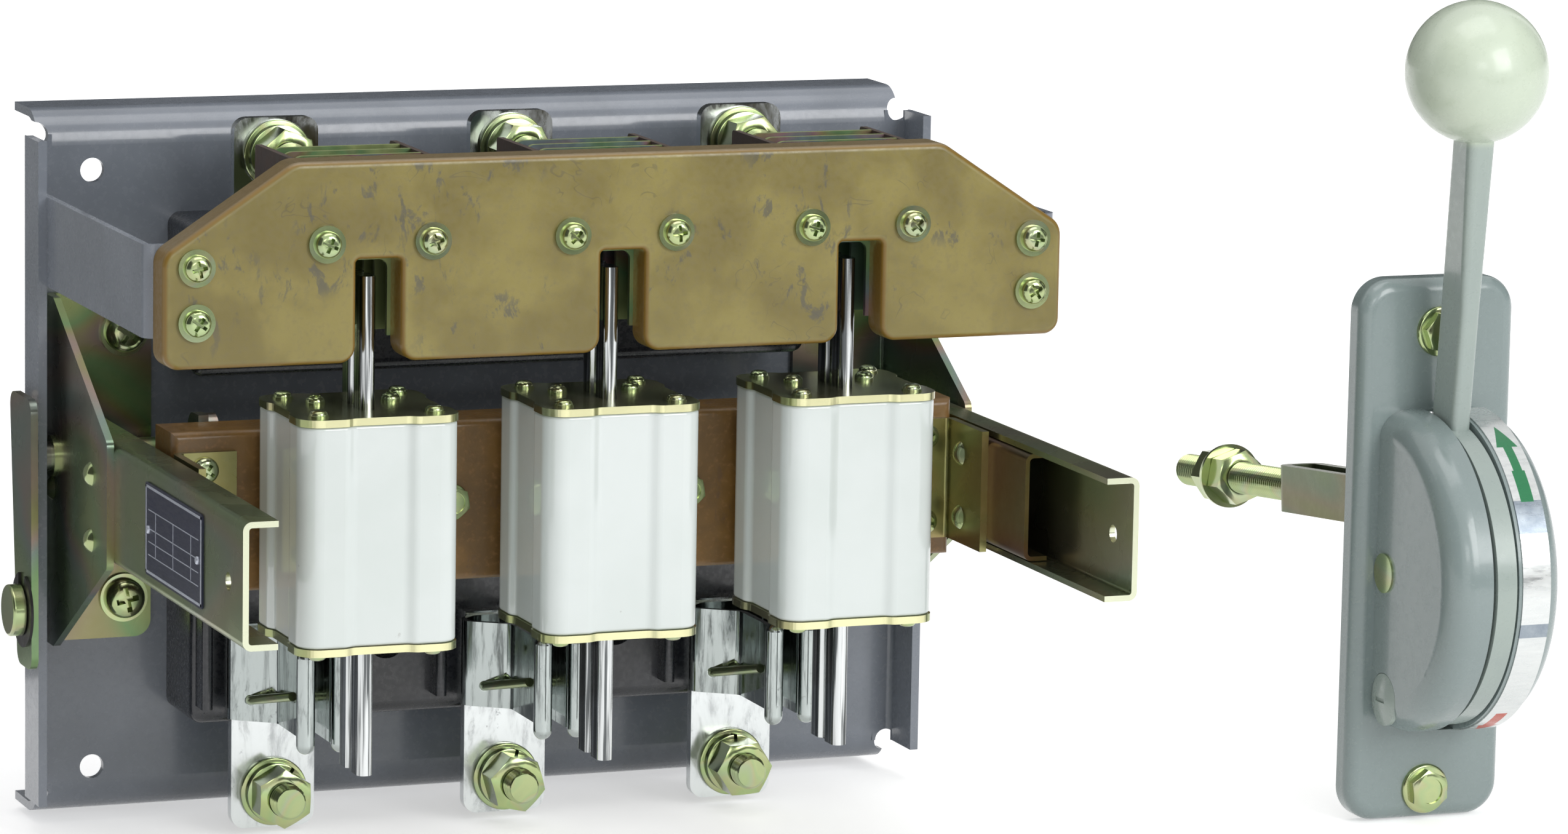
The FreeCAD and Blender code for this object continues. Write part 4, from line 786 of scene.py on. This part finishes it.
def threaded_bar(radius, low, high):
    """Round bar with a helical thread, cut square at both ends and chamfered at the upper one."""
    sizes = bpy.context.scene.detail_sizes
    pitch, depth = sizes.thread_pitch, sizes.thread_depth
    deselect()
    bpy.ops.mesh.primitive_plane_add(size=pitch, location=(0, 0, 0))
    bar = bpy.context.object
    bpy.ops.object.mode_set(mode="EDIT")
    bpy.ops.mesh.delete(type="ONLY_FACE")
    bpy.ops.mesh.select_mode(type="EDGE")
    mesh = bmesh.from_edit_mesh(bar.data)
    mesh.edges.ensure_lookup_table()
    for number, edge in enumerate(mesh.edges):
        edge.select = number == 3
    bmesh.update_edit_mesh(bar.data)
    bpy.ops.mesh.delete(type="EDGE")
    bpy.ops.object.mode_set(mode="OBJECT")
    start = low - 2 * pitch
    section = ((radius, 0.0), (radius, 0.12), (radius - depth, 0.5), (radius, 1.0))
    chain = ordered_chain(bar.data)
    for index, (reach, share) in zip(chain, section):
        bar.data.vertices[index].co = (reach, 0, start + share * pitch)
    selected_only(bar)
    modifier = bar.modifiers.new("helix", "SCREW")
    modifier.axis = "Z"
    modifier.steps = modifier.render_steps = 28
    modifier.screw_offset = pitch
    modifier.iterations = int((high - low) / pitch) + 4
    modifier.use_merge_vertices = False
    bpy.ops.object.modifier_apply(modifier=modifier.name)
    clean_up(bar)
    bpy.ops.object.mode_set(mode="EDIT")
    for level, direction in ((low, -1), (high, 1)):
        bpy.ops.mesh.select_all(action="SELECT")
        bpy.ops.mesh.bisect(plane_co=(0, 0, level), plane_no=(0, 0, direction), use_fill=True,
                            clear_outer=True)
    bpy.ops.object.mode_set(mode="OBJECT")
    for vertex in bar.data.vertices:
        reach = math.hypot(vertex.co.x, vertex.co.y)
        limit = radius - max(0.0, vertex.co.z - (high - depth * 1.2))
        if reach > limit:
            vertex.co.x *= limit / reach
            vertex.co.y *= limit / reach
    clean_up(bar)
    return bar


def ordered_chain(mesh):
    """Vertex numbers along an open chain of edges."""
    links = {}
    for edge in mesh.edges:
        a, b = edge.vertices
        links.setdefault(a, []).append(b)
        links.setdefault(b, []).append(a)
    first = [v for v, near in links.items() if len(near) == 1][0]
    chain = [first]
    while len(chain) < len(links):
        chain.append([v for v in links[chain[-1]] if v not in chain][0])
    return chain


def flat_washer(outer, bore, thickness, rounding, steps=3):
    """A ring with its upper rim rounded by a share of its thickness."""
    ring = upright_cylinder(outer, 0, thickness, 56)
    round_rim(ring, thickness, thickness * rounding, steps)
    drill(ring, bore)
    return ring


def split_washer(outer, bore, thickness, gap):
    """A spring washer, cut through at a slant."""
    ring = flat_washer(outer, bore, thickness, 0.12, 2)
    slot = box(((outer + bore) / 2, 0, thickness / 2), (outer, gap, thickness * 3), (24, 0, 0))
    boolean(ring, slot, "DIFFERENCE")
    return ring


PLATE_FRONT = -0.003
BLOCK_FRONT = -0.035
TERMINAL_T = 0.004
TERMINAL_Z = (MID_Z + 0.1115, MID_Z - 0.1115)
WASHER_R = 0.012
WASHER_T = 0.002
SPRING_WASHER_R = 0.0105
SPRING_WASHER_T = 0.003
NUT_T = 0.0108
BOLT_R = 0.006
NUT_BORE = BOLT_R * 1.02
BOLT_TIP = 0.006
BOLT_HEAD_T = 0.0075
TURN_START = 8
TURN_STEP = 17.0


def terminal_places(y):
    """The six terminals, each with its fasteners turned a little further."""
    spots = [(x, z) for z in TERMINAL_Z for x in POLES]
    return [facing((x, y, z), FRONT, TURN_START + TURN_STEP * n) for n, (x, z) in enumerate(spots)]


class FUSESWITCH_OT_terminals(bpy.types.Operator):
    """Chamfered nuts, threaded bolts and split washers of the six terminals"""
    bl_idname = "fuseswitch.terminals"
    bl_label = "Terminal fasteners"

    def execute(self, context):
        sizes = context.scene.detail_sizes
        plate_front = BLOCK_FRONT - TERMINAL_T
        nut_seat = plate_front - WASHER_T - SPRING_WASHER_T
        fit(chamfered_nut(sizes.nut_flats, NUT_T, NUT_BORE), "terminal_nut_set",
            terminal_places(nut_seat), "unit", "terminal_nuts", finish="zinc_nut", smooth=30)
        length = BLOCK_FRONT - (nut_seat - NUT_T - BOLT_TIP)
        shank = threaded_bar(BOLT_R, 0.001, length)
        head = chamfered_nut(sizes.nut_flats, BOLT_HEAD_T, 0, False)
        head.data.transform(Matrix.Translation((0, 0, -BOLT_HEAD_T)))
        neck = upright_cylinder(BOLT_R * 0.99, -0.0005, 0.0012, 32)
        fit(join([shank, head, neck], "bolt"), "terminal_bolt_set", terminal_places(BLOCK_FRONT),
            "unit", "terminal_bolts", smooth=30)
        flat = flat_washer(WASHER_R, BOLT_R * 1.03, WASHER_T, 0.25)
        spring = split_washer(SPRING_WASHER_R, BOLT_R * 1.03, SPRING_WASHER_T, 0.0012)
        spring.data.transform(Matrix.Translation((0, 0, WASHER_T)))
        fit(join([flat, spring], "washers"), "terminal_washer_set", terminal_places(plate_front),
            "unit", "terminal_washers", finish="zinc_nut", smooth=30)
        return {"FINISHED"}


BARRIER_FRONT = -0.1549
BARRIER_WASHER_T = 0.0012
BARRIER_SCREWS = [(s * 0.1473, z) for s in (-1, 1) for z in (0.0925, 0.0745)]
BARRIER_SCREWS += [(x + s * 0.0182, 0.0988) for x in POLES for s in (-1, 1)]
BRACKET_SCREWS = [(s * 0.1295, MID_Z + t * 0.0468) for s in (-1, 1) for t in (-1, 1)]
BRACKET_SEAT = PLATE_FRONT - 0.0025 - 0.0015
TURNS = (12, 55, 80, 33, 67, 20, 48, 5, 74, 40)
BARRIER_SCREW = dict(radius=0.0045, height=0.0034, shank_radius=0.0025, shank_length=0.0177)
BRACKET_SCREW = dict(radius=0.007, height=0.005, shank_radius=0.004, shank_length=0.013)
BEAM_SCREW = dict(radius=0.0045, height=0.003, shank_radius=0.0022, shank_length=0.006)
PLATE_SCREW = dict(radius=0.00325, height=0.0026, shank_radius=0.0015, shank_length=0.003)
PLATE_RIVET = dict(radius=0.0031, height=0.0023, shank_radius=0.0015, shank_length=0.003, cross=False)
BEAM_BOLT = dict(flats=0.01, height=0.0045, flange=0.006, flange_t=0.001)
HANDLE_BOLT = dict(flats=0.013, height=0.0052, flange=0.00895, flange_t=0.0016)


class FUSESWITCH_OT_screws(bpy.types.Operator):
    """Cross recessed screws of the barrier and the side brackets"""
    bl_idname = "fuseswitch.screws"
    bl_label = "Cross recessed screws"

    def execute(self, context):
        places = [facing((x, BARRIER_FRONT - BARRIER_WASHER_T, z), FRONT, TURNS[n % 10])
                  for n, (x, z) in enumerate(BARRIER_SCREWS)]
        fit(pan_head(**BARRIER_SCREW), "barrier_screw_set", places, "unit", "barrier_screws")
        places = [facing((x, BRACKET_SEAT, z), FRONT, TURNS[n]) for n, (x, z) in enumerate(BRACKET_SCREWS)]
        fit(pan_head(**BRACKET_SCREW), "bracket_screw_set", places, "unit", "bracket_screws")
        return {"FINISHED"}


FUSE_Y = -0.133
FUSE_HALF = 0.0395
RIVET_REACH = 0.02
PLATE_SCREW_REACH = 0.013
PLATE_SCREW_BACK = 0.006
BEAM_SCREW_SEAT = -0.1065
BEAM_FRONT = -0.104


class FUSESWITCH_OT_fuse_fixings(bpy.types.Operator):
    """Rivets and small screws of the fuses' end plates, and the beam's screws"""
    bl_idname = "fuseswitch.fuse_fixings"
    bl_label = "Fuse rivets and screws"

    def execute(self, context):
        domes = []
        screws = []
        for n, x in enumerate(POLES):
            for side in (1, -1):
                z = MID_Z + side * FUSE_HALF
                for dy in (-RIVET_REACH, RIVET_REACH):
                    for dx in (-RIVET_REACH, RIVET_REACH):
                        domes.append(facing((x + dx, FUSE_Y + dy, z), (0, 0, side)))
                for dx in (-PLATE_SCREW_REACH, PLATE_SCREW_REACH):
                    turn = TURNS[(n * 3 + int(dx * 1000)) % 10]
                    screws.append(facing((x + dx, FUSE_Y + PLATE_SCREW_BACK, z), (0, 0, side), turn))
        ring = upright_cylinder(0.0035, 0, 0.0006, 40)
        dome = join([pan_head(**PLATE_RIVET), ring], "dome")
        fit(dome, "fuse_rivet_set", domes, "carriage", "fuse_rivets")
        fit(pan_head(**PLATE_SCREW), "fuse_screw_set", screws, "carriage")
        places = [facing((x, BEAM_SCREW_SEAT, MID_Z + dz), FRONT, TURNS[n * 2 + (dz > 0)])
                  for n, x in enumerate((-0.1298, 0.1298)) for dz in (-0.015, 0.015)]
        fit(pan_head(**BEAM_SCREW), "beam_screw_set", places, "carriage", "beam_screws")
        places = [facing((x, BEAM_FRONT, MID_Z), FRONT, 10) for x in (-0.0425, 0.0425)]
        fit(dished_bolt(**BEAM_BOLT), "beam_bolt_set", places, "carriage")
        return {"FINISHED"}


NAME_X = -0.1551
NAME_RAISED = 0.00012
NAME_Y = (-0.189, -0.123)
NAME_Z = (-0.0135, 0.0175)
NAME_RULES = (0.0085, 0.0022, -0.0022, -0.0066)
NAME_COLUMNS = (-0.1765, -0.156, -0.1355)


def flat_bar(y0, y1, z0, z1):
    """A thin raised bar on the nameplate, outside the left arm."""
    return box((NAME_X - NAME_RAISED / 2, (y0 + y1) / 2, (z0 + z1) / 2), (NAME_RAISED, y1 - y0, z1 - z0))


class FUSESWITCH_OT_nameplate(bpy.types.Operator):
    """Border, ruled table and rivets of the plain nameplate"""
    bl_idname = "fuseswitch.nameplate"
    bl_label = "Nameplate print"

    def execute(self, context):
        (y0, y1), (z0, z1) = NAME_Y, NAME_Z
        edge, line, inset, margin = 0.0009, 0.00035, 0.0008, 0.004
        left, right, low, high = y0 + inset, y1 - inset, z0 + inset, z1 - inset
        bars = [flat_bar(left, right, low, low + edge), flat_bar(left, right, high - edge, high),
                flat_bar(left, left + edge, low, high), flat_bar(right - edge, right, low, high)]
        for z in NAME_RULES:
            bars.append(flat_bar(y0 + margin, y1 - margin, z, z + line))
        for y in NAME_COLUMNS:
            bars.append(flat_bar(y, y + line, NAME_RULES[-1], NAME_RULES[0]))
        lines = join(bars, "nameplate_print")
        lines.data.materials.clear()
        lines.data.materials.append(MATERIALS["nameplate_silver"])
        stand_in(lines, "unit", "nameplate_sheet")
        places = [facing((NAME_X, y, (z0 + z1) / 2), (-1, 0, 0)) for y in (y0 + 0.0045, y1 - 0.0045)]
        fit(pan_head(0.0014, 0.0009, cross=False), "nameplate_rivets", places, "unit",
            finish="nameplate_silver", slot="nameplate_sheet")
        return {"FINISHED"}


HANDLE_BOLT_Z = (0.051, -0.1135)
HANDLE_FRONT = -0.1352


def dished_bolt(flats, height, flange, flange_t):
    """Flanged hexagon head with a shallow dish in its top."""
    head = chamfered_nut(flats, height, 0, False)
    dish = upright_cylinder(flats * 0.36, height - 0.0006, height + 0.002, 48)
    boolean(head, dish, "DIFFERENCE")
    ring = upright_cylinder(flange, 0, flange_t, 64)
    round_rim(ring, flange_t, flange_t * 0.6, 4)
    return join([head, ring], "head")


class FUSESWITCH_OT_handle_bolts(bpy.types.Operator):
    """Flanged bolts of the handle housing"""
    bl_idname = "fuseswitch.handle_bolts"
    bl_label = "Handle bolts"

    def execute(self, context):
        bolt = dished_bolt(**HANDLE_BOLT)
        shank = upright_cylinder(0.004, -0.022, 0.0, 32)
        places = [facing((DRUM.x, HANDLE_FRONT, z), FRONT, turn) for z, turn in zip(HANDLE_BOLT_Z, (20, 6))]
        fit(join([bolt, shank], "bolt"), "handle_bolt_set", places, "unit", "handle_bolts", smooth=28)
        return {"FINISHED"}


ROD_PIN = Vector((0.3111, -0.109, -0.0146))
ROD_TILT = math.radians(5.8)
ROD_START = 0.0777
ROD_END = 0.1777
ROD_NUT_AT = 0.1297
ROD_NUT_T = 0.01
ROD_WASHER_T = 0.0025
ROD_GRIP = 0.0015


class FUSESWITCH_OT_rod(bpy.types.Operator):
    """Thread, nuts and washer of the operating rod"""
    bl_idname = "fuseswitch.rod"
    bl_label = "Operating rod"

    def execute(self, context):
        along = Vector((0, math.cos(ROD_TILT), -math.sin(ROD_TILT)))
        sizes = context.scene.detail_sizes
        bar = threaded_bar(BOLT_R, 0, ROD_END - ROD_START)
        fit(bar, "threaded_rod_thread", [facing(ROD_PIN + along * ROD_START, along)],
            "rod_end", "threaded_rod", smooth=30)
        front_nut, back_nut = (chamfered_nut(sizes.nut_flats, ROD_NUT_T, NUT_BORE) for _ in range(2))
        disc = flat_washer(WASHER_R, NUT_BORE, ROD_WASHER_T, 0.3)
        back_nut.data.transform(Matrix.Rotation(math.radians(28), 4, "Z"))
        disc_at = ROD_NUT_AT + ROD_NUT_T
        front_nut.data.transform(facing(ROD_PIN + along * ROD_NUT_AT, along, 12))
        disc.data.transform(facing(ROD_PIN + along * disc_at, along))
        back_nut.data.transform(facing(ROD_PIN + along * (disc_at + ROD_WASHER_T + ROD_GRIP), along))
        stack = join([front_nut, disc, back_nut], "rod_nut_stack")
        fit(stack, "rod_nut_set", [Matrix.Identity(4)], "rod_end", "rod_nuts", smooth=30)
        return {"FINISHED"}


class FUSESWITCH_OT_stage(bpy.types.Operator):
    """Pale floor, soft studio lamps and the camera"""
    bl_idname = "fuseswitch.stage"
    bl_label = "Stage"

    def execute(self, context):
        build_floor()
        build_world()
        build_lamps()
        build_cards()
        build_camera()
        context.scene.view_settings.view_transform = "Standard"
        return {"FINISHED"}


FLOOR_Z = -0.1252
FILL_LEVEL = 0.42
# name, place, target, width and height, watts
LAMPS = (
    ("key", (0.85, -2.05, 0.98), (0.05, -0.1, 0), (1.0, 1.2), 23),
    ("front", (-0.5, -2.6, 0.9), (0.05, -0.1, 0), (0.7, 0.5), 4),
    ("overhead", (0.1, -0.3, 1.9), (0.1, -0.1, 0), (1.5, 1.1), 11),
)
# middle, width, height, turn, finish of the cards left, right, behind, in front and behind the left arm
CARDS = (
    ((-1.35, -0.9, 0.85), 2.2, 1.7, 90, "card_dark"),
    ((1.9, -0.2, 0.95), 2.2, 1.6, 90, "card_dark"),
    ((0.2, 1.25, 0.75), 3.2, 1.3, 0, "card_dark"),
    ((0.55, -1.15, 0.0), 0.9, 0.2, 0, "card_dark"),
    ((-0.575, 0.22, 0.13), 0.85, 0.5, 0, "card_grey"),
)
LENS = 156.17
CAMERA_PLACE = (-0.76447, -2.25457, 0.40990)
CAMERA_RIGHT = Vector((0.93204, -0.36191, 0.01780))
CAMERA_UP = Vector((0.04305, 0.15940, 0.98628))
CAMERA_AHEAD = Vector((0.35978, 0.91849, -0.16414))


def seen_directly(tree):
    """1 for rays of the camera, of gloss and of glass, and 0 for the rest."""
    path = tree.nodes.new("ShaderNodeLightPath")
    seen = math_node(tree, "MAXIMUM", path.outputs["Is Camera Ray"], path.outputs["Is Glossy Ray"])
    return math_node(tree, "MAXIMUM", seen, path.outputs["Is Transmission Ray"])


def build_floor():
    deselect()
    bpy.ops.mesh.primitive_plane_add(size=14, location=(0, 0, FLOOR_Z))
    floor = bpy.context.object
    floor.name = "floor"
    f = Finish("floor_white", 0.6)
    t = f.tree
    grain = noise(t, f.vector, 40.0, 2.0, 0.5)
    f.set("Base Color", blend_colour(t, grain, linear(252, 252, 252), linear(255, 255, 255)))
    f.set("Emission Color", (1, 1, 1, 1))
    far = between(t, f.part(f.vector, "Y"), 0.25, 1.0, 0.5, 0.85)
    f.set("Emission Strength", times(t, seen_directly(t), far))
    floor.data.materials.append(f.material)


def build_world():
    world = bpy.context.scene.world = bpy.data.worlds.new("studio")
    world.use_nodes = True
    tree = world.node_tree
    tree.nodes.clear()
    out = tree.nodes.new("ShaderNodeOutputWorld")
    plain = new_node(tree, "ShaderNodeBackground", Strength=FILL_LEVEL)
    white = new_node(tree, "ShaderNodeBackground", Strength=1.0)
    for node in (plain, white):
        node.inputs["Color"].default_value = (1, 1, 1, 1)
    mix = tree.nodes.new("ShaderNodeMixShader")
    tree.links.new(seen_directly(tree), mix.inputs[0])
    tree.links.new(plain.outputs[0], mix.inputs[1])
    tree.links.new(white.outputs[0], mix.inputs[2])
    tree.links.new(mix.outputs[0], out.inputs[0])


def build_lamps():
    for name, place, target, size, power in LAMPS:
        lamp = bpy.data.lights.new(name, "AREA")
        lamp.shape = "RECTANGLE"
        lamp.size, lamp.size_y = size
        lamp.energy = power
        obj = bpy.data.objects.new(name, lamp)
        link(obj)
        obj.location = place
        obj.rotation_euler = (Vector(target) - Vector(place)).to_track_quat("-Z", "Y").to_euler()


def card_finish(name, level):
    f = Finish(name, 0.9)
    grain = noise(f.tree, f.vector, 6.0, 2.0, 0.5)
    low, high = linear(level - 6, level - 4, level - 4), linear(level + 6, level + 8, level + 8)
    f.set("Base Color", blend_colour(f.tree, grain, low, high))


def build_cards():
    """Cards outside the view, for the metal and the gloss to reflect."""
    card_finish("card_dark", 40)
    card_finish("card_grey", 146)
    for number, (middle, wide, high, turn, finish) in enumerate(CARDS):
        deselect()
        bpy.ops.mesh.primitive_plane_add(size=1)
        card = bpy.context.object
        card.name = "card_" + str(number + 1)
        place = Matrix.Translation(middle) @ Matrix.Rotation(math.radians(turn), 4, "Z")
        place = place @ Matrix.Rotation(math.radians(90), 4, "X") @ Matrix.Diagonal((wide, high, 1, 1))
        card.data.transform(place)
        card.data.materials.append(MATERIALS[finish])
        card.visible_camera = card.visible_diffuse = card.visible_shadow = False


def build_camera():
    data = bpy.data.cameras.new("view")
    data.sensor_width = 36.0
    data.lens = LENS
    data.clip_start = 0.05
    camera = bpy.data.objects.new("view", data)
    link(camera)
    turn = Matrix((CAMERA_RIGHT, CAMERA_UP, -CAMERA_AHEAD)).transposed().to_4x4()
    camera.matrix_world = Matrix.Translation(CAMERA_PLACE) @ turn
    bpy.context.scene.camera = camera


class FUSESWITCH_PT_panel(bpy.types.Panel):
    bl_label = "Fuse Switch"
    bl_idname = "FUSESWITCH_PT_panel"
    bl_space_type = "VIEW_3D"
    bl_region_type = "UI"
    bl_category = "Fuse Switch"

    def draw(self, context):
        for group in (context.scene.finish_colours, context.scene.detail_sizes):
            for name in group.__annotations__:
                self.layout.prop(group, name)
        for operator in OPERATORS:
            self.layout.operator(operator.bl_idname)


OPERATORS = (FUSESWITCH_OT_finishes, FUSESWITCH_OT_terminals, FUSESWITCH_OT_screws,
             FUSESWITCH_OT_fuse_fixings, FUSESWITCH_OT_nameplate,
             FUSESWITCH_OT_handle_bolts, FUSESWITCH_OT_rod, FUSESWITCH_OT_stage)
CLASSES = (FinishColours, DetailSizes) + OPERATORS + (FUSESWITCH_PT_panel,)


def register():
    for each in CLASSES:
        bpy.utils.register_class(each)
    bpy.types.Scene.finish_colours = bpy.props.PointerProperty(type=FinishColours)
    bpy.types.Scene.detail_sizes = bpy.props.PointerProperty(type=DetailSizes)


def unregister():
    del bpy.types.Scene.finish_colours
    del bpy.types.Scene.detail_sizes
    for each in reversed(CLASSES):
        bpy.utils.unregister_class(each)


def main():
    register()
    bpy.ops.fuseswitch.finishes()
    bpy.ops.fuseswitch.terminals()
    bpy.ops.fuseswitch.screws()
    bpy.ops.fuseswitch.fuse_fixings()
    bpy.ops.fuseswitch.nameplate()
    bpy.ops.fuseswitch.handle_bolts()
    bpy.ops.fuseswitch.rod()
    bpy.ops.fuseswitch.stage()


if __name__ == "__main__":
    main()
